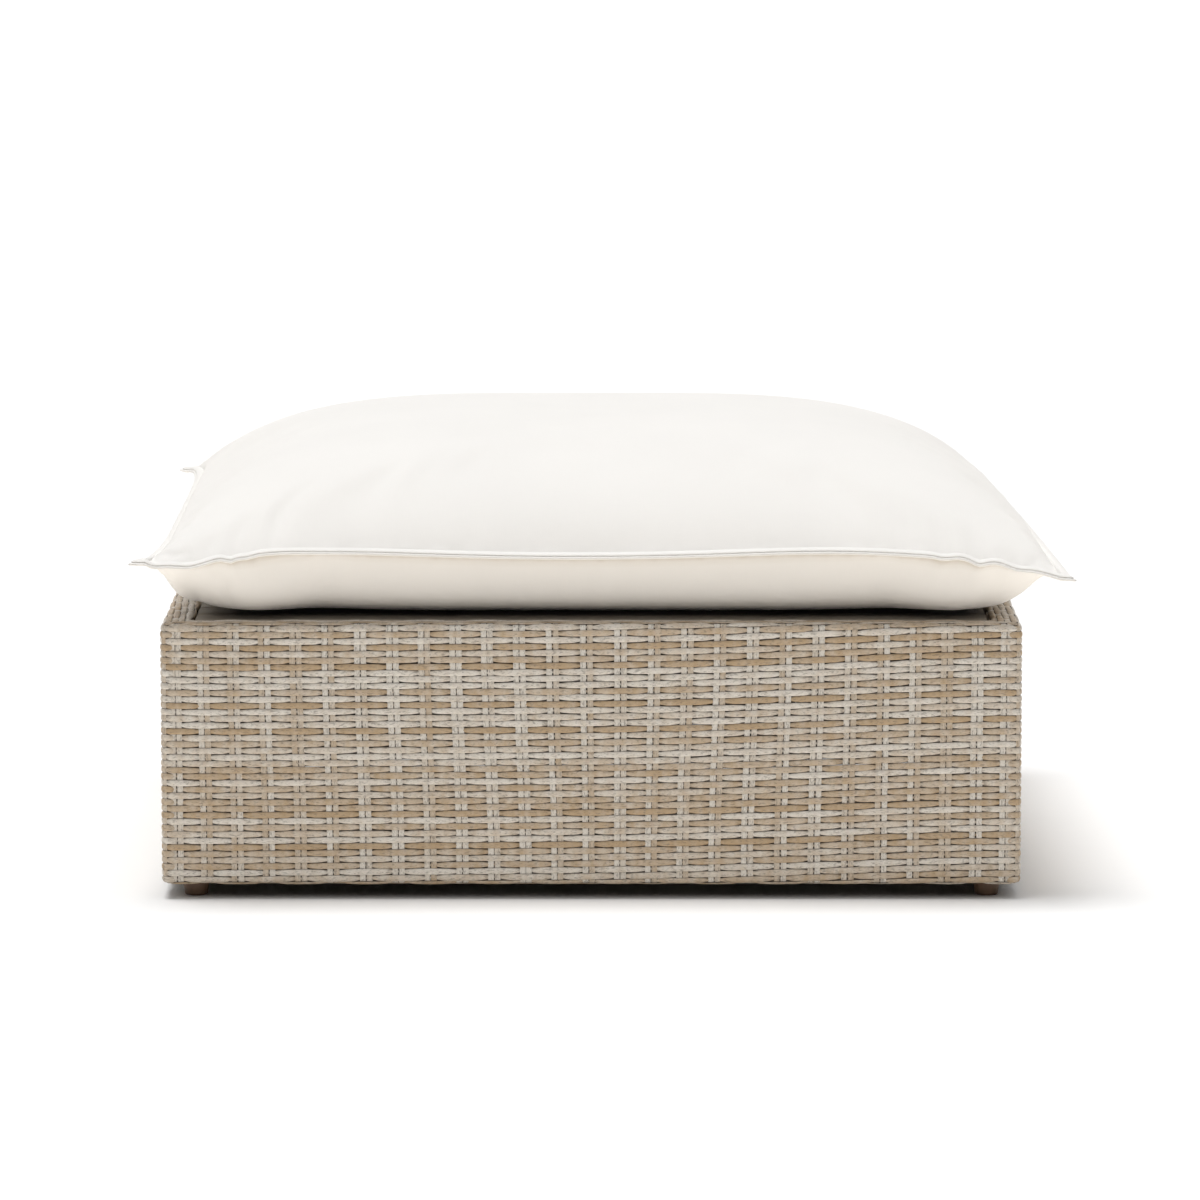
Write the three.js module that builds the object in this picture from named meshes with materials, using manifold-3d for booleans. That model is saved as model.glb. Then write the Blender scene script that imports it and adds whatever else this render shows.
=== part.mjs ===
// Outdoor ottoman: a woven resin base on an aluminium tube frame, a slatted deck,
// four screw feet and a loose knife-edge cushion. Millimetres, +Z up, front towards -Y,
// origin on the floor under the middle of the base.
import * as THREE from "three";
import { mergeVertices } from "three/addons/utils/BufferGeometryUtils.js";
import Module from "manifold-3d";

const wasm = await Module();
wasm.setup();

// Base, over the weave
const base_width = 914;
const base_depth = 914;
const rim_height = 296;
const floor_gap = 15.5;
const edge_radius = 8;
const weave_thickness = 3.5;
const groove_depth = 1.2;
const strand_height = 6.9;

// Room left between pieces that touch
const clearance = 0.3;

// Welded frame
const tube_size = 25;
const tube_wall = 1.6;
const bearer_width = 30;
const bearer_height = 15;
const bearer_wall = 1.5;
const bearer_corner_radius = 2.5;
const bearer_inset = 36;

// Slatted deck
const slat_count = 16;
const slat_gap = 3;
const slat_thickness = 12;
const slat_edge_radius = 2;
const deck_end_gap = 3;
const deck_recess = 1;

// Screw feet
const pad_diameter = 28;
const pad_sole_diameter = 24;
const pad_edge_radius = 2;
const pad_sole_thickness = 5;
const stud_diameter = 6;
const stud_length = 34;
const nut_across_flats = 10;
const nut_height = 5;
const plate_thickness = 3;
const plate_leg = 70;
const plate_tip = 12;

// Cushion
const cushion_width = 994;
const cushion_depth = 948;
const side_draw_in = 37;
const front_draw_in = 20;
const seam_rise = 70;
const crown_rise = 118;
const pressed_depth = 18;
const flange_width = 9;
const panel_thickness = 2.4;
const filling_clearance = 0.6;
const swell_power_share = 2.8;
const swell_root_share = 0.5;

// Zip under the back flange
const zip_length = 620;
const zip_height = 7;
const zip_thickness = 1.5;
const slider_length = 12;
const slider_depth = 3;
const slider_height = 6;
const slider_clearance = 0.5;
const pull_length = 18;
const pull_width = 5;
const pull_thickness = 1.2;

// Numbers of facets
const arc_steps = 3;
const corner_steps = 2;
const round_steps = 20;
const small_round_steps = 12;
const cushion_steps = 18;

// Sizes that follow from those above
const half_width = base_width / 2;
const half_depth = base_depth / 2;
const skin_gap = weave_thickness + clearance;
const frame_low = floor_gap + skin_gap;
const frame_high = rim_height - skin_gap;
const frame_inner_x = half_width - skin_gap - tube_size;
const frame_inner_y = half_depth - skin_gap - tube_size;
const tube_corner_radius = edge_radius - skin_gap;
const lip_width = tube_size + clearance + weave_thickness + skin_gap;
const deck_top = rim_height - deck_recess;
const deck_low = deck_top - slat_thickness;
const deck_half_x = half_width - lip_width - deck_end_gap;
const deck_half_y = half_depth - lip_width - deck_end_gap;
const stud_radius = stud_diameter / 2;
const bore_radius = stud_radius + clearance;
const nut_radius = nut_across_flats / Math.sqrt(3);
const foot_x = frame_inner_x - clearance - nut_radius;
const foot_y = frame_inner_y - clearance - nut_radius;
const seam_height = deck_top + seam_rise;
const cushion_half_x = cushion_width / 2 - flange_width;
const cushion_half_y = cushion_depth / 2 - flange_width;
const belly_depth = seam_rise + pressed_depth;

const finishes = {
  wicker: new THREE.MeshStandardMaterial({ color: 0xb3a28c, roughness: 0.7, metalness: 0 }),
  frame: new THREE.MeshStandardMaterial({ color: 0x8c8378, roughness: 0.45, metalness: 0.5 }),
  slat: new THREE.MeshStandardMaterial({ color: 0x8f857a, roughness: 0.65, metalness: 0 }),
  foot: new THREE.MeshStandardMaterial({ color: 0x5a4032, roughness: 0.5, metalness: 0 }),
  steel: new THREE.MeshStandardMaterial({ color: 0xb9bcc0, roughness: 0.35, metalness: 0.9 }),
  cloth: new THREE.MeshStandardMaterial({ color: 0xf1ede6, roughness: 0.9, metalness: 0 }),
  filling: new THREE.MeshStandardMaterial({ color: 0xf7f6f2, roughness: 0.95, metalness: 0 }),
  zip: new THREE.MeshStandardMaterial({ color: 0xe6e0d6, roughness: 0.6, metalness: 0 }),
};

const ottoman = new THREE.Group();

// Puts one piece into the ottoman.
function add(name, geometry, material, x, y, z, turn = 0) {
  const mesh = new THREE.Mesh(geometry, material);
  mesh.name = name;
  mesh.position.set(x, y, z);
  mesh.rotation.z = turn;
  ottoman.add(mesh);
}

// A rectangle with rounded corners, centred on zero.
function roundedRectangle(width, height, radius) {
  const x = width / 2 - radius;
  const y = height / 2 - radius;
  const shape = new THREE.Shape();
  shape.moveTo(-x, -height / 2);
  shape.lineTo(x, -height / 2);
  shape.absarc(x, -y, radius, -Math.PI / 2, 0, false);
  shape.lineTo(width / 2, y);
  shape.absarc(x, y, radius, 0, Math.PI / 2, false);
  shape.lineTo(-x, height / 2);
  shape.absarc(-x, y, radius, Math.PI / 2, Math.PI, false);
  shape.lineTo(-width / 2, -y);
  shape.absarc(-x, -y, radius, Math.PI, 1.5 * Math.PI, false);
  return shape;
}

// The square-cornered opening inside a tube.
function tubeHole(width, height) {
  const hole = new THREE.Path();
  hole.moveTo(-width / 2, -height / 2);
  hole.lineTo(-width / 2, height / 2);
  hole.lineTo(width / 2, height / 2);
  hole.lineTo(width / 2, -height / 2);
  hole.closePath();
  return hole;
}

// A straight bar of the given section, centred on zero and lying along X, Y or Z.
function bar(shape, length, along) {
  const geometry = new THREE.ExtrudeGeometry(shape, {
    depth: length,
    bevelEnabled: false,
    curveSegments: corner_steps,
  });
  geometry.translate(0, 0, -length / 2);
  if (along === "x") geometry.rotateZ(Math.PI / 2).rotateY(Math.PI / 2);
  if (along === "y") geometry.rotateX(-Math.PI / 2);
  return geometry;
}

// A rectangular tube whose width lies across it and whose height stands up.
function tube(width, height, wall, radius, length, along) {
  const shape = roundedRectangle(width, height, radius);
  shape.holes.push(tubeHole(width - 2 * wall, height - 2 * wall));
  return bar(shape, length, along);
}

// The square tube that rails, posts and stiles are cut from.
function frameTube(length, along) {
  return tube(tube_size, tube_size, tube_wall, tube_corner_radius, length, along);
}

// Rails at top and bottom, posts at the corners and a stile in the middle of each side.
// A post stops short of the weave where that bends over the rails.
function addFrame() {
  const rail_x = frame_inner_x + tube_size / 2;
  const rail_y = frame_inner_y + tube_size / 2;
  const long_x = 2 * (frame_inner_x - clearance);
  const long_y = 2 * (frame_inner_y - clearance);
  const levels = { top: frame_high - tube_size / 2, bottom: frame_low + tube_size / 2 };
  for (const [level, z] of Object.entries(levels)) {
    add(`${level}_rail_front`, frameTube(long_x, "x"), finishes.frame, 0, -rail_y, z);
    add(`${level}_rail_back`, frameTube(long_x, "x"), finishes.frame, 0, rail_y, z);
    add(`${level}_rail_left`, frameTube(long_y, "y"), finishes.frame, -rail_x, 0, z);
    add(`${level}_rail_right`, frameTube(long_y, "y"), finishes.frame, rail_x, 0, z);
  }
  const middle = (frame_low + frame_high) / 2;
  const post = frameTube(frame_high - frame_low - 2 * tube_corner_radius, "z");
  for (const [place, side_x, side_y] of corners()) {
    add(`corner_post_${place}`, post, finishes.frame, side_x * rail_x, side_y * rail_y, middle);
  }
  const stile = frameTube(frame_high - frame_low - 2 * (tube_size + clearance), "z");
  add("stile_front", stile, finishes.frame, 0, -rail_y, middle);
  add("stile_back", stile, finishes.frame, 0, rail_y, middle);
  add("stile_left", stile, finishes.frame, -rail_x, 0, middle);
  add("stile_right", stile, finishes.frame, rail_x, 0, middle);
}

// Each corner's name and the side of the middle that it lies on.
function corners() {
  return [
    ["front_left", -1, -1],
    ["front_right", 1, -1],
    ["back_left", -1, 1],
    ["back_right", 1, 1],
  ];
}

// Flat tubes from the front rail to the back rail, under the slats.
function addBearers() {
  const length = 2 * (frame_inner_y - clearance);
  const radius = bearer_corner_radius;
  const geometry = tube(bearer_width, bearer_height, bearer_wall, radius, length, "y");
  const reach = deck_half_x - bearer_inset;
  const z = deck_low - clearance - bearer_height / 2;
  add("deck_bearer_left", geometry, finishes.frame, -reach, 0, z);
  add("deck_bearer_middle", geometry, finishes.frame, 0, 0, z);
  add("deck_bearer_right", geometry, finishes.frame, reach, 0, z);
}

// Slats run from left to right and fill the deck from front to back.
function addSlats() {
  const width = (2 * deck_half_y - (slat_count - 1) * slat_gap) / slat_count;
  const shape = roundedRectangle(width, slat_thickness, slat_edge_radius);
  const geometry = bar(shape, 2 * deck_half_x, "x");
  const z = deck_low + slat_thickness / 2;
  for (let i = 0; i < slat_count; i++) {
    const y = -deck_half_y + width / 2 + i * (width + slat_gap);
    add(`deck_slat_${String(i + 1).padStart(2, "0")}`, geometry, finishes.slat, 0, y, z);
  }
}

// Points of an arc in a wall's section, from one angle to another, both ends included.
function arcPoints(u, z, radius, from, to) {
  const points = [];
  for (let i = 0; i <= arc_steps; i++) {
    const angle = from + ((to - from) * i) / arc_steps;
    points.push([u + radius * Math.cos(angle), z + radius * Math.sin(angle)]);
  }
  return points;
}

// Rows of strands between two points of the section: each row swells to the line
// between the points and dips to a groove where it meets the next row.
function rowPoints(from, to, dip) {
  const length = Math.hypot(to[0] - from[0], to[1] - from[1]);
  const rows = Math.max(1, Math.round(length / strand_height));
  const points = [];
  for (let i = 1; i < 2 * rows; i++) {
    const share = i / (2 * rows);
    const sunk = i % 2 ? 0 : 1;
    const u = from[0] + (to[0] - from[0]) * share + sunk * dip[0];
    const z = from[1] + (to[1] - from[1]) * share + sunk * dip[1];
    points.push([u, z]);
  }
  return points;
}

// Section of a woven wall: u is the distance out from the middle of the base, z the height.
// It goes out under the bottom rail, up the face, over the top rail and down inside it.
function wallSection(half_across) {
  const bend = half_across - edge_radius;
  const lip_in = half_across - lip_width;
  const lip_out = lip_in + weave_thickness;
  const inner_radius = edge_radius - weave_thickness;
  const rail_inner = lip_out + clearance;
  const low_bend = floor_gap + edge_radius;
  const high_bend = rim_height - edge_radius;
  return [
    [rail_inner, floor_gap],
    ...arcPoints(bend, low_bend, edge_radius, -Math.PI / 2, 0),
    ...rowPoints([half_across, low_bend], [half_across, high_bend], [-groove_depth, 0]),
    ...arcPoints(bend, high_bend, edge_radius, 0, Math.PI / 2),
    ...rowPoints([bend, rim_height], [lip_in, rim_height], [0, -groove_depth]),
    [lip_in, rim_height - groove_depth],
    [lip_in, deck_low],
    [lip_out, deck_low],
    [lip_out, rim_height - weave_thickness],
    ...arcPoints(bend, high_bend, inner_radius, Math.PI / 2, 0),
    ...arcPoints(bend, low_bend, inner_radius, 0, -Math.PI / 2),
    [rail_inner, floor_gap + weave_thickness],
  ];
}

// How far along the wall a point of the section lies at one station of the corner.
// Station 0 ends the straight run and the last one is the mitre at 45 degrees.
function stationPoint(u, z, half_span, half_across, station) {
  const bend = half_across - edge_radius;
  const past = u - bend;
  const angle = (Math.PI / 4) * (station / corner_steps);
  const mitre_room = (clearance * station) / corner_steps / Math.sqrt(2);
  if (past > 0) {
    const along = half_span - edge_radius + past * Math.sin(angle) - mitre_room;
    return [along, bend + past * Math.cos(angle), z];
  }
  const start = half_span - 2 * lip_width;
  const end = half_span - edge_radius + past;
  return [start + ((end - start) * (station + 1)) / (corner_steps + 1) - mitre_room, u, z];
}

// A closed solid through loops of points, all with the same number of points,
// with flat ends cut into triangles by the flat outline of the first loop.
function loft(loops, outline) {
  const count = outline.length;
  const positions = loops.flat(2);
  const faces = [];
  for (let k = 0; k + 1 < loops.length; k++) {
    for (let i = 0; i < count; i++) {
      const next = (i + 1) % count;
      const a = k * count + i;
      const b = k * count + next;
      faces.push(a, b, b + count, a, b + count, a + count);
    }
  }
  const flat = outline.map(([u, z]) => new THREE.Vector2(u, z));
  const last = (loops.length - 1) * count;
  for (const [a, b, c] of THREE.ShapeUtils.triangulateShape(flat, [])) {
    faces.push(c, b, a, a + last, b + last, c + last);
  }
  return solid(positions, faces);
}

// A geometry from a flat list of coordinates and a list of corners.
function solid(positions, faces) {
  const geometry = new THREE.BufferGeometry();
  geometry.setAttribute("position", new THREE.Float32BufferAttribute(positions, 3));
  geometry.setIndex(faces);
  geometry.computeVertexNormals();
  return geometry;
}

// One woven wall, made for the front and turned to its side by the caller.
function wovenWall(half_span, half_across) {
  const section = wallSection(half_across);
  const loops = [];
  for (const side of [1, -1]) {
    for (let k = 0; k <= corner_steps; k++) {
      const station = side > 0 ? corner_steps - k : k;
      loops.push(
        section.map(([u, z]) => {
          const [along, out, height] = stationPoint(u, z, half_span, half_across, station);
          return [side * along, -out, height];
        }),
      );
    }
  }
  return loft(loops, section);
}

// The four walls meet in mitres at the rounded corners.
function addWalls() {
  const long_wall = wovenWall(half_width, half_depth);
  const side_wall = wovenWall(half_depth, half_width);
  add("woven_wall_front", long_wall, finishes.wicker, 0, 0, 0);
  add("woven_wall_right", side_wall, finishes.wicker, 0, 0, 0, Math.PI / 2);
  add("woven_wall_back", long_wall, finishes.wicker, 0, 0, 0, Math.PI);
  add("woven_wall_left", side_wall, finishes.wicker, 0, 0, 0, -Math.PI / 2);
}

// A circular path for a hole.
function roundHole(x, y, radius) {
  const hole = new THREE.Path();
  hole.absarc(x, y, radius, 0, 2 * Math.PI, true);
  return hole;
}

// A plate of the given outline, standing on zero.
function plate(shape, thickness) {
  return new THREE.ExtrudeGeometry(shape, {
    depth: thickness,
    bevelEnabled: false,
    curveSegments: small_round_steps,
  });
}

// Gusset in the front left corner of the bottom rails, with the hole for the foot's stud.
// Its outer corner is at zero.
function footPlate() {
  const shape = new THREE.Shape();
  shape.moveTo(0, 0);
  shape.lineTo(plate_leg, 0);
  shape.lineTo(plate_leg, plate_tip);
  shape.lineTo(plate_tip, plate_leg);
  shape.lineTo(0, plate_leg);
  shape.closePath();
  shape.holes.push(roundHole(nut_radius, nut_radius, bore_radius));
  return plate(shape, plate_thickness);
}

// Hexagon nut, welded on the gusset.
function footNut() {
  const shape = new THREE.Shape();
  for (let i = 0; i < 6; i++) {
    const angle = (i * Math.PI) / 3;
    const x = nut_radius * Math.cos(angle);
    const y = nut_radius * Math.sin(angle);
    if (i === 0) shape.moveTo(x, y);
    else shape.lineTo(x, y);
  }
  shape.closePath();
  shape.holes.push(roundHole(0, 0, bore_radius));
  return plate(shape, nut_height);
}

// A solid of revolution from its half section.
function turned(points, steps) {
  return new THREE.LatheGeometry(
    points.map(([r, z]) => new THREE.Vector2(r, z)),
    steps,
  ).rotateX(Math.PI / 2);
}

// Tapered puck with a rounded sole edge and a blind bore for the stud.
function footPad() {
  const height = floor_gap - clearance;
  const sole = pad_sole_diameter / 2;
  const top = pad_diameter / 2;
  return turned(
    [
      [0, 0],
      [sole - pad_edge_radius, 0],
      [sole, pad_edge_radius],
      [top, height - pad_edge_radius],
      [top - pad_edge_radius / 2, height],
      [bore_radius, height],
      [bore_radius, pad_sole_thickness],
      [0, pad_sole_thickness],
    ],
    round_steps,
  );
}

// Stud with a chamfered tip.
function footStud() {
  const chamfer = stud_radius / 3;
  return turned(
    [
      [0, 0],
      [stud_radius, 0],
      [stud_radius, stud_length - chamfer],
      [stud_radius - chamfer, stud_length],
      [0, stud_length],
    ],
    small_round_steps,
  );
}

// A foot at each corner: gusset and nut on the frame, pad and stud that screw down.
function addFeet() {
  const gusset = footPlate();
  const nut = footNut();
  const pad = footPad();
  const stud = footStud();
  const turns = { front_left: 0, front_right: 0.5, back_right: 1, back_left: 1.5 };
  for (const [place, side_x, side_y] of corners()) {
    const x = side_x * foot_x;
    const y = side_y * foot_y;
    const corner_x = side_x * (frame_inner_x - clearance);
    const corner_y = side_y * (frame_inner_y - clearance);
    const turn = turns[place] * Math.PI;
    add(`foot_plate_${place}`, gusset, finishes.frame, corner_x, corner_y, frame_low, turn);
    const nut_low = frame_low + plate_thickness + clearance;
    add(`foot_nut_${place}`, nut, finishes.steel, x, y, nut_low);
    add(`foot_pad_${place}`, pad, finishes.foot, x, y, 0);
    add(`foot_stud_${place}`, stud, finishes.steel, x, y, pad_sole_thickness + clearance);
  }
}

// Place in plan of a point of the cushion, where s and t run from -1 to 1 between
// opposite edges. The edges draw in between the corners.
function cushionPlan(s, t) {
  const x = s * (cushion_half_x - side_draw_in * (1 - t * t));
  const y = t * (cushion_half_y - front_draw_in * (1 - s * s));
  return [x, y];
}

// Share of the full swell at a point of the cushion: 1 in the middle, 0 on the seam.
function swell(s, t) {
  const across = 1 - Math.abs(s) ** swell_power_share;
  const deep = 1 - Math.abs(t) ** swell_power_share;
  return Math.max(across * deep, 0) ** swell_root_share;
}

// Value of s or t on grid line i. Lines are closer together near the seam.
function gridValue(i) {
  const inner = Math.min(Math.max(i, 0), cushion_steps);
  return Math.sin(Math.PI * (inner / cushion_steps - 1 / 2));
}

// -1 or 1 where grid line i is the outer edge of the flange, otherwise 0.
function flangeSide(i) {
  if (i < 0) return -1;
  return i > cushion_steps ? 1 : 0;
}

// A closed solid between an upper and a lower sheet over grid lines first to last.
function sheetSolid(first, last, upper, lower) {
  const side = last - first + 1;
  const positions = [];
  for (const height of [upper, lower]) {
    for (let j = first; j <= last; j++) {
      for (let i = first; i <= last; i++) {
        const s = gridValue(i);
        const t = gridValue(j);
        const [x, y] = cushionPlan(s, t);
        const out_x = flangeSide(i) * flange_width;
        const out_y = flangeSide(j) * flange_width;
        positions.push(x + out_x, y + out_y, height(swell(s, t)));
      }
    }
  }
  return solid(positions, sheetFaces(side));
}

// Triangles of two stacked grids of side by side points, joined round their edge.
function sheetFaces(side) {
  const under = side * side;
  const faces = [];
  for (let j = 0; j + 1 < side; j++) {
    for (let i = 0; i + 1 < side; i++) {
      const a = j * side + i;
      const c = a + side;
      faces.push(a, a + 1, c + 1, a, c + 1, c);
      faces.push(under + a, under + c + 1, under + a + 1, under + a, under + c, under + c + 1);
    }
  }
  for (const [a, b] of edgeRun(side)) {
    faces.push(a, under + a, under + b, a, under + b, b);
  }
  return faces;
}

// Pairs of neighbouring points round the edge of a grid, anticlockwise from above.
function edgeRun(side) {
  const ring = [];
  const last = side - 1;
  for (let i = 0; i < last; i++) ring.push(i);
  for (let j = 0; j < last; j++) ring.push(j * side + last);
  for (let i = last; i > 0; i--) ring.push(last * side + i);
  for (let j = last; j > 0; j--) ring.push(j * side);
  return ring.map((point, k) => [point, ring[(k + 1) % ring.length]]);
}

// Underside of the cushion's lower panel: a belly pressed flat where it lies on the deck.
function bellyHeight(share) {
  const hanging = seam_height - panel_thickness - belly_depth * share;
  return Math.max(deck_top + clearance, hanging);
}

// Top side of the cushion's upper panel.
function crownHeight(share) {
  return seam_height + panel_thickness + crown_rise * share;
}

// Two panels sewn together at the flange, with the filling between them.
function addCushion() {
  const panel_gap = clearance / 2;
  const cloth = panel_thickness - panel_gap;
  const crown_inside = (share) => crownHeight(share) - cloth;
  const belly_inside = (share) => bellyHeight(share) + cloth;
  const top_panel = sheetSolid(-1, cushion_steps + 1, crownHeight, crown_inside);
  const bottom_panel = sheetSolid(-1, cushion_steps + 1, belly_inside, bellyHeight);
  const filling = sheetSolid(
    1,
    cushion_steps - 1,
    (share) => crown_inside(share) - filling_clearance,
    (share) => belly_inside(share) + filling_clearance,
  );
  add("cushion_top_panel", top_panel, finishes.cloth, 0, 0, 0);
  add("cushion_bottom_panel", bottom_panel, finishes.cloth, 0, 0, 0);
  add("cushion_insert", filling, finishes.filling, 0, 0, 0);
}

// Distance back from the middle to the cushion's back seam at x.
function backSeam(x) {
  return cushionPlan(x / cushion_half_x, 1)[1];
}

// The zip's chain: a thin band that hangs under the back flange and follows the seam.
function zipChain() {
  const half = zip_length / 2;
  const places = [-half];
  for (let i = 1; i < cushion_steps; i++) {
    const x = cushionPlan(gridValue(i), 1)[0];
    if (Math.abs(x) < half - slider_length) places.push(x);
  }
  places.push(half);
  const high = seam_height - panel_thickness - clearance;
  const outline = [
    [clearance, high - zip_height],
    [clearance + zip_thickness, high - zip_height],
    [clearance + zip_thickness, high],
    [clearance, high],
  ];
  const loops = places.map((x) => outline.map(([out, z]) => [x, backSeam(x) + out, z]));
  return loft(loops, outline);
}

// Turns a geometry into a solid that can be joined to others.
function toManifold(geometry) {
  const bare = geometry.clone();
  bare.deleteAttribute("normal");
  bare.deleteAttribute("uv");
  const merged = mergeVertices(bare);
  return new wasm.Manifold(
    new wasm.Mesh({
      numProp: 3,
      vertProperties: new Float32Array(merged.attributes.position.array),
      triVerts: new Uint32Array(merged.index.array),
    }),
  );
}

// Turns a joined solid back into a geometry.
function toGeometry(manifold) {
  const mesh = manifold.getMesh();
  return solid(Array.from(mesh.vertProperties), Array.from(mesh.triVerts));
}

// The zip's slider: a body that tapers towards one end, with a pull hanging from it.
function zipSlider() {
  const half = slider_length / 2;
  const nose = slider_height / 4;
  const body = new THREE.Shape();
  body.moveTo(-half, -slider_height / 2);
  body.lineTo(half, -nose);
  body.lineTo(half, nose);
  body.lineTo(-half, slider_height / 2);
  body.closePath();
  const block = new THREE.ExtrudeGeometry(body, { depth: slider_depth, bevelEnabled: false });
  block.rotateX(Math.PI / 2).translate(0, slider_depth, 0);
  const pull = bar(roundedRectangle(pull_width, pull_length, pull_width / 4), pull_thickness, "z");
  pull.rotateX(Math.PI / 2);
  pull.translate(0, slider_depth - pull_thickness / 2, nose - pull_length / 2);
  return toGeometry(toManifold(block).add(toManifold(pull)));
}

// The zip, closed, with its slider at the left end.
function addZip() {
  const x = -(zip_length - slider_length) / 2;
  const slope = (2 * front_draw_in * x) / cushion_half_x ** 2;
  const y = backSeam(x) + clearance + zip_thickness + slider_clearance;
  const z = seam_height - panel_thickness - slider_clearance - slider_height / 2;
  add("cushion_zip", zipChain(), finishes.zip, 0, 0, 0);
  add("zip_slider", zipSlider(), finishes.steel, x, y, z, Math.atan(slope));
}

addFrame();
addBearers();
addSlats();
addWalls();
addFeet();
addCushion();
addZip();

export default ottoman;
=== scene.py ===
"""Outdoor ottoman footstool: a woven resin base on screw feet with a loose knife-edge cushion.

Metres, +Z up, front towards -Y, origin on the floor under the middle of the base.
"""
import math

import bpy
import numpy as np
from bpy.props import FloatProperty, FloatVectorProperty, IntProperty, PointerProperty, StringProperty
from bpy.types import NodeSocket, Operator, Panel, PropertyGroup
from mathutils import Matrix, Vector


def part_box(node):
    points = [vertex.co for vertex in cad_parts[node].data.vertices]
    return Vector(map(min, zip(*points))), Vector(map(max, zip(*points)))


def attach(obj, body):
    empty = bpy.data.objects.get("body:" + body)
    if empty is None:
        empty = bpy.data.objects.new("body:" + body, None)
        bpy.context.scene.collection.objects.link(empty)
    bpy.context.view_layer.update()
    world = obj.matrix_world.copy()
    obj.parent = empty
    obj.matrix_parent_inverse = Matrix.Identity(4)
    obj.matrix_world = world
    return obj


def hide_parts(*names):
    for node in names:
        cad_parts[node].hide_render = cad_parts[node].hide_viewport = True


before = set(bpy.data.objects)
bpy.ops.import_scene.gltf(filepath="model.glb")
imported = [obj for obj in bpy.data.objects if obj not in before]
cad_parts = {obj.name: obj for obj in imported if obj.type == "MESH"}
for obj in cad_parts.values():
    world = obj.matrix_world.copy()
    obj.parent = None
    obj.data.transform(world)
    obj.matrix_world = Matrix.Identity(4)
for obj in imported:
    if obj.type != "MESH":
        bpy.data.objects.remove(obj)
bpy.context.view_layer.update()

bl_info = {
    "name": "Woven Ottoman",
    "version": (1, 0, 0),
    "blender": (4, 5, 0),
    "location": "3D View > Sidebar > Ottoman",
    "description": "Dresses a woven resin ottoman with its strands, deck, feet and cushion",
    "category": "Object",
}

MM = 0.001

# The base as the frame has it
FACE = -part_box("woven_wall_front")[0].y
RIM_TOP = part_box("woven_wall_front")[1].z
SKIN_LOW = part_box("woven_wall_front")[0].z
DECK_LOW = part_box("deck_slat_01")[0].z
DECK_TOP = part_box("deck_slat_01")[1].z
SIDES = ("front", "right", "back", "left")
CORNERS = ("front_left", "front_right", "back_left", "back_right")


def amount(name, description, default, most=1e6):
    """A setting that is a plain number from 0 up."""
    return FloatProperty(name=name, description=description, default=default, min=0.0, max=most)


def length(name, description, default):
    """A setting in metres."""
    return FloatProperty(name=name, description=description, default=default, unit="LENGTH")


def angle(name, description, degrees):
    """A setting that is an angle."""
    return FloatProperty(name=name, description=description, default=math.radians(degrees), unit="ROTATION")


def tint(name, description, *default):
    """A setting that is a colour."""
    return FloatVectorProperty(name=name, description=description, default=default, subtype="COLOR", size=3)


class StageSettings(PropertyGroup):
    lens: FloatProperty(name="Lens", description="Focal length of the camera", default=217.8, unit="CAMERA")
    distance: length("Distance", "Camera's distance in front of the middle", 8.078)
    height: length("Height", "Camera's height over the floor", 1.3056)
    aside: length("Aside", "Camera's place to the right of the middle", 0.0093)
    tilt: angle("Tilt", "How far the camera looks down", 7.36)
    sun_strength: amount("Key light", "Strength of the broad key light", 1.7)
    side_strength: amount("Side light", "Strength of the weaker light from the other side", 0.46)
    sun_spread: angle("Spread", "Apparent width of both lights", 25)
    sky_strength: amount("Sky", "Strength of the soft light from above", 0.6)
    floor_bounce: amount("Floor bounce", "How much light the floor sends back", 0.95, 1.0)
    floor_glow: amount("Floor glow", "Extra light from the floor on what faces down", 0.34)
    floor_size: length("Floor", "Width of the floor", 80.0)


class WeaveSettings(PropertyGroup):
    row_pitch: length("Row pitch", "Distance between rows of strands", 6.86 * MM)
    first_row: length("First row", "Height of the highest row on the face", 291.4 * MM)
    pair_spacing: length("Stake spacing", "Distance between pairs of stakes", 34.6 * MM)
    end_draw: length("End draw", "How far the last pair is pushed in from even spacing", 9.8 * MM)
    stake_width: length("Stake width", "Width of one upright strand", 6.8 * MM)
    stake_thickness: length("Stake thickness", "Thickness of one upright strand", 0.9 * MM)
    stake_gap: length("Stake gap", "Gap between the two stakes of a pair", 0.3 * MM)
    swing: length("Swing", "How far a strand swings out and in", 1.0 * MM)
    bulge: length("Bulge", "How round a strand's face is", 1.35 * MM)
    brown: tint("Brown", "Darkest strand colour", 0.45, 0.325, 0.195)
    whitish: tint("Whitish", "Palest strand colour", 0.72, 0.685, 0.63)
    streak: tint("Streak", "Colour of the fine streaks", 0.12, 0.098, 0.08)
    # Painted shade: the strands take this dark colour where they dive into the grooves between one another.
    groove: tint("Groove", "Dirt between the strands", 0.035, 0.024, 0.016)
    row_order: StringProperty(
        name="Row order", description="Strand of each row down the face: white, oat, tan or brown",
        default="otwbotbwwwtwbwowbotowottwtottbwtowbtotwott",
    )
    stake_order: StringProperty(
        name="Stake order", description="Upright strands from left to right",
        default="ooottotwttwtwowwotwwwowwwtwtwowtotwtwotwowottwwtttwwwot",
    )


class DeckSettings(PropertyGroup):
    light: tint("Light grain", "Pale grain of the slats", 0.38, 0.335, 0.28)
    dark: tint("Dark grain", "Dark grain of the slats", 0.18, 0.155, 0.125)
    # Painted shadow under the cushion: the slats there take this darker colour instead of their own.
    painted_shadow: tint("Shaded", "Unfaded colour under the cushion", 0.05, 0.042, 0.034)


class FrameSettings(PropertyGroup):
    coat: tint("Coat", "Powder coat of the tubes", 0.2, 0.165, 0.13)
    metal: tint("Bare metal", "Worn edges", 0.62, 0.61, 0.59)


class FootSettings(PropertyGroup):
    brown: tint("Brown", "Colour of the pads", 0.13, 0.075, 0.045)
    zinc: tint("Zinc", "Colour of studs and nuts", 0.62, 0.63, 0.64)


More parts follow.
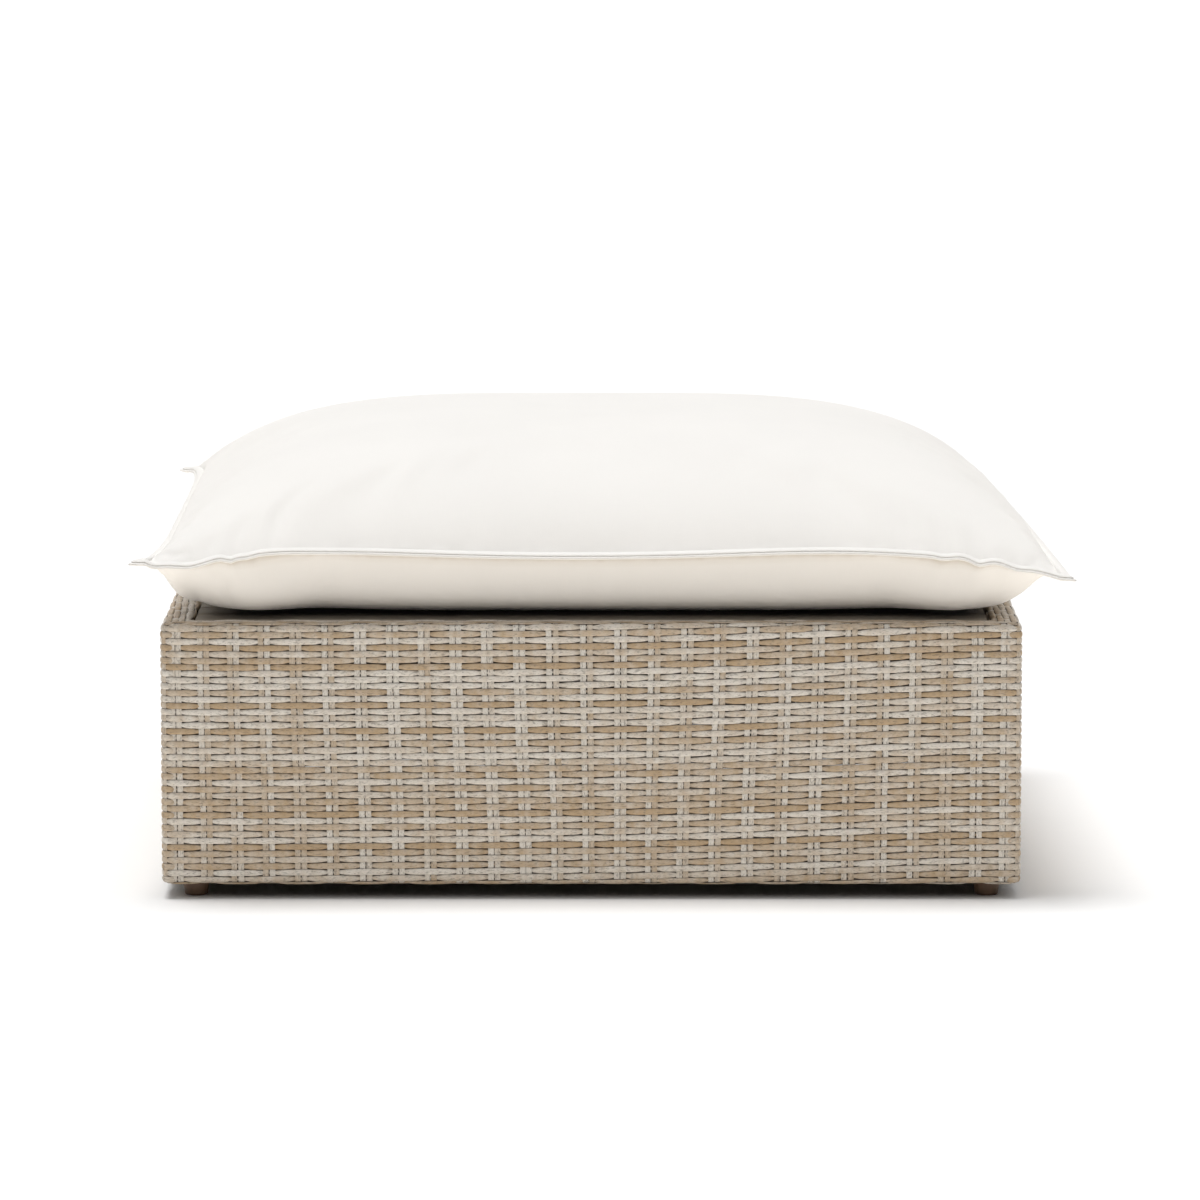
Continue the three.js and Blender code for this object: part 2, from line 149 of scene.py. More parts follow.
class CushionSettings(PropertyGroup):
    half_width: length("Half width", "From the middle to the side seam at a corner", 486 * MM)
    half_depth: length("Half depth", "From the middle to the front seam at a corner", 465 * MM)
    side_draw: length("Side draw", "How far the sides pull in", 21 * MM)
    front_draw: length("Front draw", "How far the front and back pull in", 20 * MM)
    crown: length("Crown", "Rise of the top over the seam", 111 * MM)
    belly: amount("Belly", "How fast the underside drops from the seam to the deck", 6.6)
    seam_height: length("Seam height", "Height of the seam over the floor", 366 * MM)
    steps: IntProperty(name="Steps", description="Grid lines across the cushion", default=140, min=20)
    cloth: tint("Cloth", "Colour of the cover", 0.862, 0.842, 0.812)


def settings(name):
    """The settings of one sub-part."""
    return getattr(bpy.context.scene, name)


def smooth_noise(rng, places, knots, strength):
    """Seeded noise along a line, rounded between its knots. Places run from 0 to 1."""
    values = rng.uniform(-strength, strength, knots + 1)
    at = np.clip(places, 0.0, 1.0) * (knots - 1)
    low = np.floor(at).astype(int)
    share = (1 - np.cos(np.pi * (at - low))) / 2
    return values[low] * (1 - share) + values[np.minimum(low + 1, knots)] * share


def smooth_step(low, high, values):
    """Runs smoothly from 0 at low to 1 at high."""
    share = np.clip((values - low) / (high - low), 0, 1)
    return share * share * (3 - 2 * share)


def bumps(places, terms):
    """Sum of rounded bumps along a line, each given by its middle, width and height in mm."""
    places = np.asarray(places) / MM
    return sum(height * np.exp(-(((places - middle) / width) ** 2)) for middle, width, height in terms)


def unit(vectors):
    """The vectors' directions."""
    return vectors / np.linalg.norm(vectors, axis=-1, keepdims=True)


def turn_about_z(points, quarter_turns):
    """Turns points about the vertical through the origin."""
    turn = quarter_turns * math.pi / 2
    cos, sin = round(math.cos(turn)), round(math.sin(turn))
    x, y = points[..., 0], points[..., 1]
    return np.stack([cos * x - sin * y, sin * x + cos * y, points[..., 2]], -1)


def mesh_piece(name, points, faces, material, smooth=True, attributes=None, crease=None):
    """A new object from points and faces, with float attributes on its points."""
    mesh = bpy.data.meshes.new(name)
    mesh.from_pydata(np.asarray(points).tolist(), [], np.asarray(faces).tolist())
    for key, values in (attributes or {}).items():
        values = np.asarray(values, dtype=np.float32)
        kind, field = ("FLOAT_VECTOR", "vector") if values.ndim == 2 else ("FLOAT", "value")
        mesh.attributes.new(key, kind, "POINT").data.foreach_set(field, values.ravel())
    mesh.polygons.foreach_set("use_smooth", [smooth] * len(mesh.polygons))
    if crease is not None:
        mesh.set_sharp_from_angle(angle=crease)
    mesh.update()
    piece = bpy.data.objects.new(name, mesh)
    bpy.context.scene.collection.objects.link(piece)
    mesh.materials.append(material)
    return piece


def tube_faces(tubes, stations, sides):
    """Quads of many tubes whose points lie in a grid of tubes, stations and sides, with flat ends."""
    grid = np.meshgrid(np.arange(tubes), np.arange(stations - 1), np.arange(sides), indexing="ij")
    tube, station, side = grid
    after = (side + 1) % sides
    first = (tube * stations + station) * sides
    walls = np.stack([first + side, first + after, first + sides + after, first + sides + side], -1)
    ends = []
    for number in range(tubes):
        for last in (0, 1):
            base = (number * stations + last * (stations - 1)) * sides
            for k in range(sides // 2 - 1):
                quad = [base + k, base + k + 1, base + sides - 2 - k, base + sides - 1 - k]
                ends.append(quad if last else quad[::-1])
    return np.concatenate([walls.reshape(-1, 4), np.array(ends)])


def ring_angles(sides):
    """Even angles round a ring."""
    return np.arange(sides) / sides * 2 * math.pi


def ringed(paths, rings, radii):
    """Tubes with a ring of directions at each station; radii by station, or by station and side."""
    stations, sides = paths.shape[1], rings.shape[-2]
    radii = np.asarray(radii, dtype=float)
    radii = np.broadcast_to(radii[:, None] if radii.ndim == 1 else radii, (stations, sides))
    points = paths[:, :, None] + rings * radii[None, :, :, None]
    return points.reshape(-1, 3), tube_faces(len(paths), stations, sides)


def swept(paths, side, radii, sides=8):
    """Tubes across their paths; side is the way of each ring's first point."""
    tangent = unit(np.gradient(paths, axis=1))
    across = unit(side - tangent * np.sum(tangent * side, -1, keepdims=True))[:, :, None]
    up = np.cross(tangent, across[:, :, 0])[:, :, None]
    turn = ring_angles(sides)[:, None]
    return ringed(paths, across * np.cos(turn) + up * np.sin(turn), radii)


def lathed(paths, radii, sides):
    """Tubes whose rings all lie level, whichever way the paths' heights run."""
    turn = ring_angles(sides)
    return ringed(paths, np.stack([np.cos(turn), np.sin(turn), np.zeros(sides)], -1)[None, None], radii)


class Skin:
    """The middle of the weave's thickness: its section, rows and stakes, made for the front."""

    thickness = 1.9 * MM
    bend_radius = 8 * MM
    lip_radius = 2.5 * MM
    mitre_radius = 2.5 * MM
    lip_width = 32.6 * MM
    last_pair = 13
    # The spacing of the pairs shrinks by this power towards the corner, which keeps at least this room.
    draw_power = 5
    corner_room = 10 * MM
    # Places from -1 to 1 along a side, and how far a row lies under its mean place there, in mm.
    climb_knots = ((-1, 3.2), (-0.5, 1.4), (0, -0.6), (0.5, -5.4), (0.8, -9.6), (1, -10.52))
    # How much higher the ends of the upper rows lie, in mm.
    end_rise = 2.2
    # Sideways wandering of the front's stakes near the rim and near the floor: place, width, shift, in mm.
    high_wander = ((-400, 330, -4), (-65, 100, -6), (150, 120, -1.3), (430, 120, 1.5))
    low_wander = ((-213, 120, 2.4), (150, 150, -7.5))
    # The wandering changes over between these margins of the face, and ends at the corner.
    high_margin = 10 * MM
    low_margin = 20 * MM
    calm_power = 12

    def __init__(self, weave):
        self.weave = weave
        self.bend = FACE - self.bend_radius
        self.radius = self.bend_radius - self.thickness
        low = SKIN_LOW + self.bend_radius
        high = RIM_TOP - self.bend_radius
        lip = FACE - self.lip_width + self.thickness
        self.outs, self.heights, self.turns = [], [], []
        self.arc(lip + self.thickness, low - self.radius, 0, -90, -90)
        self.arc(self.bend, low, self.radius, -90, 0)
        self.arc(self.bend, high, self.radius, 0, 90)
        self.arc(lip + self.lip_radius, RIM_TOP - self.thickness - self.lip_radius, self.lip_radius, 90, 180)
        self.arc(lip, DECK_LOW, 0, 180, 180)
        self.outs = np.array(self.outs)
        self.heights = np.array(self.heights)
        self.turns = np.radians(self.turns)
        steps = np.hypot(np.diff(self.outs), np.diff(self.heights))
        self.lengths = np.concatenate([[0], np.cumsum(steps)])
        self.end = self.lengths[-1]
        self.face_high = float(self.lengths[np.argmax(self.heights >= high)])
        self.corner = self.bend + self.radius * math.pi / 4
        self.indices = np.arange(-self.last_pair, self.last_pair + 1)
        drawn = weave.end_draw * (self.indices / self.last_pair) ** self.draw_power
        self.pairs = weave.pair_spacing * self.indices - drawn
        share, drop = np.array(self.climb_knots).T
        self.climb_curve = np.polyfit(share, drop, len(share) - 1)
        self.wander = {"front": (self.high_wander, self.low_wander)}
        rng = np.random.default_rng(3)
        for side in SIDES[1:]:
            self.wander[side] = [
                [(rng.uniform(-300, 300), rng.uniform(90, 160), rng.uniform(-5, 5)) for _ in range(3)]
                for _ in range(2)
            ]

    def arc(self, out, height, radius, start, end, steps=12):
        """Adds an arc to the section, or one point where its radius is zero."""
        for degrees in np.linspace(start, end, steps + 1 if radius else 1):
            self.outs.append(out + radius * math.cos(math.radians(degrees)))
            self.heights.append(height + radius * math.sin(math.radians(degrees)))
            self.turns.append(degrees)

    def bend_at(self, place):
        """Where the straight run to the corner ends at a place, and the bend's radius there."""
        out = np.interp(place, self.lengths, self.outs)
        radius = np.maximum(out - self.bend, self.mitre_radius)
        return out - radius, radius

    def at(self, along, place, lift):
        """Points of the front skin: along the row, at a place of the section, lifted off its middle."""
        height = np.interp(place, self.lengths, self.heights)
        turn = np.interp(place, self.lengths, self.turns)
        straight, radius = self.bend_at(place)
        round_by = np.clip((np.abs(along) - straight) / radius, 0, math.pi / 2)
        reach = radius + lift * np.cos(turn)
        x = np.where(round_by > 0, straight + reach * np.sin(round_by), np.abs(along)) * np.sign(along)
        y = -(straight + reach * np.cos(round_by))
        return np.stack(np.broadcast_arrays(x, y, height + lift * np.sin(turn)), -1)

    def half_length(self, place):
        """Length of a row from the middle of the side to the corner's mitre."""
        straight, radius = self.bend_at(place)
        return straight + radius * math.pi / 4

    def row_place(self, row):
        """Where a row lies in the section; row 0 is the highest on the face."""
        over = self.weave.first_row - (RIM_TOP - self.bend_radius)
        return self.face_high + self.radius * math.asin(over / self.radius) - row * self.weave.row_pitch

    def climb(self, share, row):
        """How far a row lies under its mean place. The strands climb by two rows from left to right."""
        share = np.clip(share, -1, 1)
        depth = np.clip(row * self.weave.row_pitch / (RIM_TOP - SKIN_LOW), 0, 1)
        return (np.polyval(self.climb_curve, share) - self.end_rise * share**2 * (1 - depth**2)) * MM

    def sway(self, along, place, side):
        """How far the stakes lean sideways: the hand-woven pattern wanders."""
        height = np.interp(place, self.lengths, self.heights)
        depth = smooth_step(self.high_margin, RIM_TOP - SKIN_LOW - self.low_margin, RIM_TOP - height)
        high, low = self.wander[side]
        calm = 1 - np.clip(np.abs(along) / self.corner, 0, 1) ** self.calm_power
        return (bumps(along, high) * (1 - depth) + bumps(along, low) * depth) * calm * MM

    def room(self, half):
        """Length of a row past the last pair."""
        return np.maximum(half - self.pairs[-1], self.corner_room)

    def pair_index(self, along, half):
        """Which stake pair lies at a distance along a row, as a number that runs on between pairs."""
        past = (np.abs(along) - self.pairs[-1]) / self.room(half)
        inner = np.interp(along, self.pairs, self.indices)
        return np.where(past > 0, np.sign(along) * (self.last_pair + past), inner)

    def along_of(self, index, half):
        """Distance along a row of such a number."""
        past = np.abs(index) - self.last_pair
        outer = np.sign(index) * (self.pairs[-1] + past * self.room(half))
        return np.clip(np.where(past > 0, outer, np.interp(index, self.indices, self.pairs)), -half, half)


STRAND_TONES = {"w": 1.0, "o": 0.7, "t": 0.3, "b": 0.0}
TONE_STEPS = {"front": 0, "right": 2, "back": 4, "left": -2}
# A strand's section: across in half widths (and in half feet), its height, and how deep in the groove, which
# sets its painted shade.
FOOT_WIDTH = 6.86 * MM
WEAVER_SECTION = (
    (0, -1, -0.6, 1.0), (-1, 0, 0, 0.55), (-0.9, 0, 0.42, 0.1), (-0.64, 0, 0.78, 0), (-0.22, 0, 0.98, 0),
    (0.22, 0, 0.98, 0), (0.64, 0, 0.78, 0), (0.9, 0, 0.42, 0.1), (1, 0, 0, 0.55), (0, 1, -0.6, 1.0),
    (0, 0.7, -0.8, 1.0), (0, -0.7, -0.8, 1.0),
)
STAKE_SECTION = (
    (-1, -0.2, 0.9), (-0.82, 0.42, 0.1), (0, 0.5, 0.0), (0.82, 0.42, 0.1), (1, -0.2, 0.9), (0.85, -0.5, 1.0),
    (0, -0.5, 1.0), (-0.85, -0.5, 1.0),
)
# A weaver's width where it lies over a pair of stakes, and how much narrower it is where it dives.
WEAVER_WIDTH = 6.7 * MM
WEAVER_PINCH = 4.1 * MM
WEAVER_STATIONS = 165
# How far a stake gives way to the weavers, and how far the corner stake runs over the rim.
STAKE_SWING = 0.35 * MM
CORNER_OVER_RIM = 9 * MM
STAKE_STATIONS = 150
# How far a row's ends stay from the ends of the section.
ROW_MARGIN = 3 * MM


class Strands:
    """Collects strands: their points, and for the material their place, tone and depth in a groove, which
    the material paints as shade.
    """

    def __init__(self, patches, spread):
        self.patches, self.spread = patches, spread
        self.points, self.places, self.tones, self.groove_shades = [], [], [], []

    def add(self, rng, points, run, reach, deep, share, tone):
        """One strand: run and reach are its places along and across, and its tone drifts by the spread."""
        seed = rng.uniform(0, 100)
        self.points.append(points)
        self.places.append(np.stack(np.broadcast_arrays(run[:, None], reach, seed), -1))
        drift = smooth_noise(rng, share, self.patches, self.spread)
        self.tones.append(np.broadcast_to((tone + drift)[:, None], points.shape[:2]))
        self.groove_shades.append(np.broadcast_to(deep, points.shape[:2]))

    def piece(self, name, side, material):
        """The strands as one object on its side of the base."""
        points = np.array(self.points)
        tubes, stations, sides, _ = points.shape
        faces = tube_faces(tubes, stations, sides)
        ring, after = points[0, stations // 2], points[0, stations // 2 + 1]
        spin = np.cross(ring[1] - ring[0], ring[2] - ring[1])
        if np.dot(spin, after[0] - ring[0]) > 0:
            faces = faces[:, ::-1]
        placed = turn_about_z(points, SIDES.index(side)).reshape(-1, 3)
        attributes = {
            "strand": np.reshape(self.places, (-1, 3)), "tone": np.ravel(self.tones),
            "groove": np.ravel(self.groove_shades),
        }
        return mesh_piece(name, placed, faces, material, attributes=attributes)


def row_line(skin, row):
    """Index, distance along, place and half length of a row's stations, or None where it has none."""
    share = np.linspace(-1, 1, 201)
    places = skin.row_place(row) - skin.climb(share, row)
    inside = np.flatnonzero((places > ROW_MARGIN) & (places < skin.end - ROW_MARGIN))
    if len(inside) < 3:
        return None
    ends = share[inside[[0, -1]]]
    halves = skin.half_length(skin.row_place(row) - skin.climb(ends, row))
    index = np.linspace(*skin.pair_index(ends * halves, halves), WEAVER_STATIONS)
    along = np.linspace(*(ends * halves), WEAVER_STATIONS)
    half = halves.mean()
    for _ in range(3):
        half = skin.half_length(skin.row_place(row) - skin.climb(along / half, row))
        along = skin.along_of(index, half)
    place = skin.row_place(row) - skin.climb(along / half, row)
    return index, along, np.clip(place, ROW_MARGIN, skin.end - ROW_MARGIN), half


def weavers(skin, side):
    """One side's rows of strands, over and under the pairs of stakes."""
    weave = skin.weave
    rng = np.random.default_rng(11 + SIDES.index(side))
    top = int((skin.row_place(0) - skin.end) / weave.row_pitch) - 2
    bottom = int(skin.row_place(0) / weave.row_pitch) + 2
    across, foot, up, deep = np.array(WEAVER_SECTION).T
    strands = Strands(patches=20, spread=0.16)
    for row in range(top, bottom + 1):
        line = row_line(skin, row)
        if line is None:
            continue
        index, along, place, half = line
        tone = STRAND_TONES[weave.row_order[(row + TONE_STEPS[side]) % len(weave.row_order)]]
        share = (along + half) / (2 * half)
        wave = np.cos(np.pi * (index + row + 1))
        over = 0.7 * np.tanh(4.0 * (wave + 0.6)) + 0.3 * wave
        # Chance variations, none at the ends, where the next side's strands meet these.
        fade = np.clip((1 - np.abs(2 * share - 1)) * 25, 0, 1)
        width = WEAVER_WIDTH - WEAVER_PINCH * ((1 - wave) / 2) ** 6
        width = width * (1 + fade * smooth_noise(rng, share, knots=60, strength=0.06))
        drift = smooth_noise(rng, share, knots=28, strength=0.2 * MM)
        drift = fade * (drift + smooth_noise(rng, share, knots=7, strength=0.25 * MM))
        lift = weave.swing * over + fade * smooth_noise(rng, share, knots=55, strength=0.12 * MM)
        reach = across * width[:, None] / 2 + foot * FOOT_WIDTH / 2
        at = np.clip(place[:, None] + drift[:, None] + reach, 0, skin.end)
        far = along[:, None] * skin.half_length(at) / half[:, None]
        points = skin.at(far + skin.sway(far, at, side), at, lift[:, None] + up * weave.bulge)
        strands.add(rng, points, along, reach, deep, share, tone)
    return strands


def stake_end(skin, x):
    """Where a stake ends: at the lip, at the mitre near a corner, or over the rim in the corner."""
    if x is None:
        return skin.face_high + CORNER_OVER_RIM
    if abs(x) + skin.weave.stake_width <= FACE - skin.lip_width:
        return skin.end
    upper = skin.lengths > skin.face_high
    mitre = abs(x) + skin.weave.stake_width / 2
    return float(np.interp(-mitre, -skin.outs[upper], skin.lengths[upper]))


def stakes(skin, side):
    """One side's pairs of upright strands, and its corner strand, whose x is None."""
    weave = skin.weave
    rng = np.random.default_rng(31 + SIDES.index(side))
    offset = (weave.stake_width + weave.stake_gap) / 2
    across, up, deep = np.array(STAKE_SECTION).T
    strands = Strands(patches=12, spread=0.14)
    places = [(x + turn * offset, k) for k, x in enumerate(skin.pairs) for turn in (-1, 1)]
    for number, (x, pair) in enumerate(places + [(None, skin.last_pair * 2 + 1)]):
        tone = STRAND_TONES[weave.stake_order[number % len(weave.stake_order)]]
        place = np.linspace(0.0, stake_end(skin, x), STAKE_STATIONS)
        rows = (skin.row_place(0) - place) / weave.row_pitch
        rows = rows - skin.climb(1.0 if x is None else x / skin.corner, rows) / weave.row_pitch
        wave = np.cos(np.pi * (pair - skin.last_pair + rows + 1))
        share = place / skin.end
        wide = weave.stake_width * (1 - 0.04 * np.maximum(wave, 0))
        wide = wide * (1 + smooth_noise(rng, share, knots=40, strength=0.04))
        if x is None:
            centre = skin.half_length(place)
        else:
            centre = x + skin.sway(x, place, side) + smooth_noise(rng, share, knots=24, strength=0.25 * MM)
        along = centre[:, None] + across * wide[:, None] / 2
        lift = up * weave.stake_thickness - STAKE_SWING * wave[:, None]
        points = skin.at(along, np.broadcast_to(place[:, None], along.shape), lift)
        strands.add(rng, points, place, across * 2.6 * MM, deep, share, tone + 0.2)
    return strands


# How square the crown and the lower panel are in plan: the power by which they fall off from the middle.
SIDE_SQUARENESS = 3.8
FRONT_SQUARENESS = 3.4
LOW_SQUARENESS = 2.84
# How softly the crown starts at the front and back seam.
SEAM_EASING = 0.03


def top_swell(s, t):
    """Share of the crown's height, 0 on the seam. Right shoulder and front corners are slacker."""
    side_slack = 0.66 + 0.08 * smooth_step(0, 1, s)
    slack = 0.62 + 0.15 * s * s * (1 - t) / 2
    swell = (1 + SEAM_EASING - np.abs(t) ** FRONT_SQUARENESS) ** slack - SEAM_EASING**slack
    swell = swell / ((1 + SEAM_EASING) ** slack - SEAM_EASING**slack)
    return (1 - np.abs(s) ** SIDE_SQUARENESS) ** side_slack * swell


def low_swell(s, t):
    """The same for the lower panel."""
    return np.sqrt((1 - np.abs(s) ** LOW_SQUARENESS) * (1 - np.abs(t) ** LOW_SQUARENESS))


# How the cushion lies, as in the photograph: aside, forward, its right side slanting in to the back.
LIES_ASIDE = 12.4 * MM
LIES_FORWARD = 1.5 * MM
RIGHT_SLANT = 42 * MM
SLANT_POWER = 1.25


def cushion_plan(cushion, s, t):
    """Place in plan. The edges pull in between the corners."""
    front = (1 - t) / 2
    x = s * (cushion.half_width - cushion.side_draw * (1 - s / 6) * (1 - t**6))
    y = t * (cushion.half_depth - cushion.front_draw * (1 - s * s))
    slid = LIES_ASIDE - RIGHT_SLANT * (1 - front) ** SLANT_POWER * (1 + s) / 2
    return x + slid, y - LIES_FORWARD * front


# The front seam as it waves, and its puckers: place, width and rise of each, in mm.
SEAM_WAVES = ((-300, 160, 7), (270, 160, 7))
SEAM_PUCKERS = (
    (-476, 9, 7), (-424, 22, -5.5), (-382, 7, -4), (-366, 9, -2.2), (-330, 30, 1.2),
    (372, 7, -1.4), (390, 9, 1.4), (410, 8, -3.6), (431, 9, 1.2), (451, 13, -2.6),
)
# How far the seam's tips droop, in mm: at the front, at the back, and the right ones besides.
FRONT_DROOP = 11
BACK_DROOP = 9
RIGHT_DROOP = 5


def seam_rise(cushion, s, t):
    """How far the seam lies over or under its mean height: it waves at the front and droops at the tips."""
    front, back = np.clip(-t, 0, 1), np.clip(t, 0, 1)
    x = s * cushion.half_width + 12 * MM
    waves = bumps(x, SEAM_WAVES) - FRONT_DROOP * (np.abs(x) / 0.468) ** 6
    puckers = bumps(x, SEAM_PUCKERS) * front**24
    back_tips = BACK_DROOP * np.abs(s) ** 8 * back**8
    right_tips = RIGHT_DROOP * np.clip(s, 0, 1) ** 12 * (front**6 + 4.5 * back**12)
    return (front**6 * waves + puckers - back_tips - right_tips) * MM


def cushion_grid(steps):
    """Grid values from -1 to 1, closer together near the seam."""
    squeeze = 1.33
    return np.sin(squeeze * np.linspace(-1, 1, steps + 1)) / math.sin(squeeze)


def gathers(rng, along, depth):
    """Soft pleats that run in from a seam: how far they stand out."""
    terms = [(rng.uniform(-440, 440), rng.uniform(5, 11), rng.uniform(-1, 1)) for _ in range(26)]
    run = depth / 0.04
    return bumps(along, terms) * run * np.exp(1 - run) * MM


def underside(cushion, s, t, seam):
    """Height of the lower panel: it drops from the seam, fuller at the corners, and rests on the deck."""
    side = smooth_step(0.6, 0.8, np.abs(s))
    tip = smooth_step(0.9, 1.0, np.abs(s)) * np.where(s < 0, 13.0, 5.0)
    fuller = (5.0 * side + tip) * smooth_step(0.6, 0.9, np.abs(t))
    share = low_swell(s, t)
    rest = DECK_TOP + 0.5 * MM + (30 - 11 * side) * MM * np.maximum(0, 1 - share / 0.75)
    fall = np.maximum((cushion.belly + fuller) * share**2, 1e-6)
    return seam - (seam - rest) * (1 + fall**-6.0) ** (-1 / 6)


def grid_faces(number):
    """Quads between the numbered points of a grid."""
    corners = [number[:-1, :-1], number[:-1, 1:], number[1:, 1:], number[1:, :-1]]
    return np.stack(corners, -1).reshape(-1, 4)


# How far the sides bulge over the drawn-in seam and how near it, and how far the painted shade under the
# seam reaches.
SIDE_BULGE = 9.5 * MM
BULGE_DEPTH = 0.022
DITCH_WIDTH = 3.6 * MM


def cover_mesh(cushion):
    """Points and faces of the closed cover, its upper points' numbers, and how deep each is in the ditch
    under the seam, for its painted shade.
    """
    line = cushion_grid(cushion.steps)
    s, t = np.meshgrid(line, line, indexing="xy")
    x, y = cushion_plan(cushion, s, t)
    seam = cushion.seam_height + seam_rise(cushion, s, t)
    depth = (1 - np.abs(s)) / BULGE_DEPTH
    x = x + np.sign(s) * SIDE_BULGE * (1 - t**6) * depth * np.exp(1 - depth)
    rng = np.random.default_rng(8)
    pleats = gathers(rng, y, 1 - np.abs(s)), gathers(rng, x, 1 - np.abs(t))
    x, y = x + np.sign(s) * pleats[0], y + np.sign(t) * pleats[1]
    upper = np.stack([x, y, seam + cushion.crown * top_swell(s, t)], -1).reshape(-1, 3)
    lower = np.stack([x, y, underside(cushion, s, t, seam)], -1)[1:-1, 1:-1].reshape(-1, 3)
    number = np.arange(s.size).reshape(s.shape)
    under = number.copy()
    under[1:-1, 1:-1] = s.size + np.arange(len(lower)).reshape(under[1:-1, 1:-1].shape)
    faces = np.concatenate([grid_faces(number), grid_faces(under)[:, ::-1]])
    hem = np.minimum((1 - np.abs(s)) * cushion.half_width, (1 - np.abs(t)) * cushion.half_depth)
    # Painted shade: a dark line on the lower panel just under the flange.
    ditch = np.exp(-((hem[1:-1, 1:-1] / DITCH_WIDTH) ** 2)).ravel()
    return np.concatenate([upper, lower]), faces, number, np.concatenate([np.zeros(len(upper)), ditch])


def coordinates(mesh):
    """Places of a mesh's points."""
    places = np.empty(len(mesh.vertices) * 3)
    mesh.vertices.foreach_get("co", places)
    return places.reshape(-1, 3)


CLOTH_SETTINGS = {
    "quality": 6,
    "mass": 0.3,
    "tension_stiffness": 20,
    "compression_stiffness": 20,
    "shear_stiffness": 8,
    "bending_stiffness": 1.5,
    "use_pressure": True,
    "uniform_pressure_force": 4,
    "shrink_min": -0.02,
    "vertex_group_mass": "seam",
}
CLOTH_FRAMES = 16
# The swelling is capped at 1.5 mm on the lower panel and at 4 mm on the upper one, and stays over the deck.
LOW_CAP = 1.5 * MM
MORE_CAP = 2.5 * MM
CAP_HEIGHTS = (355 * MM, 375 * MM)
DECK_CLEARANCE = 0.4 * MM


def settle(cover, number):
    """Fills the cover by a short cloth simulation, with its seam held and its swelling capped."""
    start = coordinates(cover.data)
    rim = np.concatenate([number[0], number[-1], number[1:-1, 0], number[1:-1, -1]])
    cover.vertex_groups.new(name="seam").add(rim.tolist(), 1.0, "REPLACE")
    cloth = cover.modifiers.new("filling", "CLOTH")
    for key, value in CLOTH_SETTINGS.items():
        setattr(cloth.settings, key, value)
    cloth.settings.effector_weights.gravity = 0
    scene = bpy.context.scene
    for step in range(1, CLOTH_FRAMES + 1):
        scene.frame_set(step)
    move = coordinates(cover.evaluated_get(bpy.context.evaluated_depsgraph_get()).data) - start
    scene.frame_set(1)
    cover.modifiers.remove(cloth)
    far = np.linalg.norm(move, axis=1)[:, None]
    cap = LOW_CAP + MORE_CAP * smooth_step(*CAP_HEIGHTS, start[:, 2:])
    end = start + move * (cap * np.tanh(far / cap) / np.maximum(far, 1e-9))
    end[:, 2] = np.maximum(end[:, 2], DECK_TOP + DECK_CLEARANCE)
    cover.data.vertices.foreach_set("co", end.ravel())
    cover.data.update()


def seam_loop(cushion):
    """Points round the seam, anticlockwise from above, with their outward directions in plan."""
    line = cushion_grid(150)[:-1]
    one = np.ones(len(line))
    s = np.concatenate([line, one, -line, -one])
    t = np.concatenate([-one, line, one, -line])
    x, y = cushion_plan(cushion, s, t)
    points = np.stack([x, y, cushion.seam_height + seam_rise(cushion, s, t)], -1)
    edges = np.roll(points, -1, 0) - points
    after = unit(np.stack([edges[:, 1], -edges[:, 0], np.zeros(len(edges))], -1))
    before = np.roll(after, 1, 0)
    mean = unit(before + after)
    # At a corner the direction is stretched, so that both edges keep their width.
    stretch = 1 / np.clip(np.sum(mean * before, 1), 0.5, 1)
    return points, mean * stretch[:, None]


# Half section of the flange: out from the seam and up in mm, as two sewn folds with a groove between.
FLANGE_SECTION = (
    (-1.5, 4.0), (1.0, 4.3), (3.5, 3.9), (6.2, 3.0), (8.0, 2.0), (8.5, 1.3), (8.1, 0.8), (7.2, 0.6),
    (8.8, 0.4), (10.2, -0.2), (10.8, -1.1), (10.3, -2.1), (8.6, -2.7), (6.0, -2.8), (-1.5, -1.9),
)


def flange_piece(cushion, material):
    """The sewn flange round the seam, with its two folds."""
    points, outward = seam_loop(cushion)
    out, up = np.array(FLANGE_SECTION).T * MM
    rim = points[:, None] + outward[:, None] * out[:, None]
    rim[..., 2] += up
    number = np.arange(len(points) * len(out)).reshape(len(points), len(out))
    after = np.roll(number, -1, 0)
    faces = np.stack([np.roll(number, -1, 1), np.roll(after, -1, 1), after, number], -1).reshape(-1, 4)
    return mesh_piece("cushion_flange", rim.reshape(-1, 3), faces, material)


# A stitch: the thread's place along it, its rise out of the groove and its radius.
STITCH_PITCH = 3.6 * MM
STITCH_LENGTH = 2.7 * MM
STITCH = ((0, -0.25, 0.12), (0.2, 0.1, 0.3), (0.5, 0.2, 0.34), (0.8, 0.1, 0.3), (1.0, -0.25, 0.12))
STITCHES_OUT = 7.6 * MM
STITCHES_UP = 0.5 * MM


def stitches_piece(cushion, material):
    """Thread stitches in the groove between the flange's two folds."""
    points, outward = seam_loop(cushion)
    line = points + outward * STITCHES_OUT + np.array([0, 0, STITCHES_UP])
    line, ways = np.concatenate([line, line[:1]]), np.concatenate([outward, outward[:1]])
    run = np.concatenate([[0], np.cumsum(np.linalg.norm(np.diff(line, axis=0), axis=1))])
    share, rise, radii = np.array(STITCH).T
    at = np.arange(0, run[-1] - STITCH_PITCH, STITCH_PITCH)[:, None] + share * STITCH_LENGTH
    paths, out = (np.stack([np.interp(at, run, axis) for axis in these.T], -1) for these in (line, ways))
    points, faces = swept(paths + out * rise[:, None] * MM, np.array([0.0, 0.0, 1.0]), radii * MM, 6)
    return mesh_piece("flange_stitches", points, faces, material)


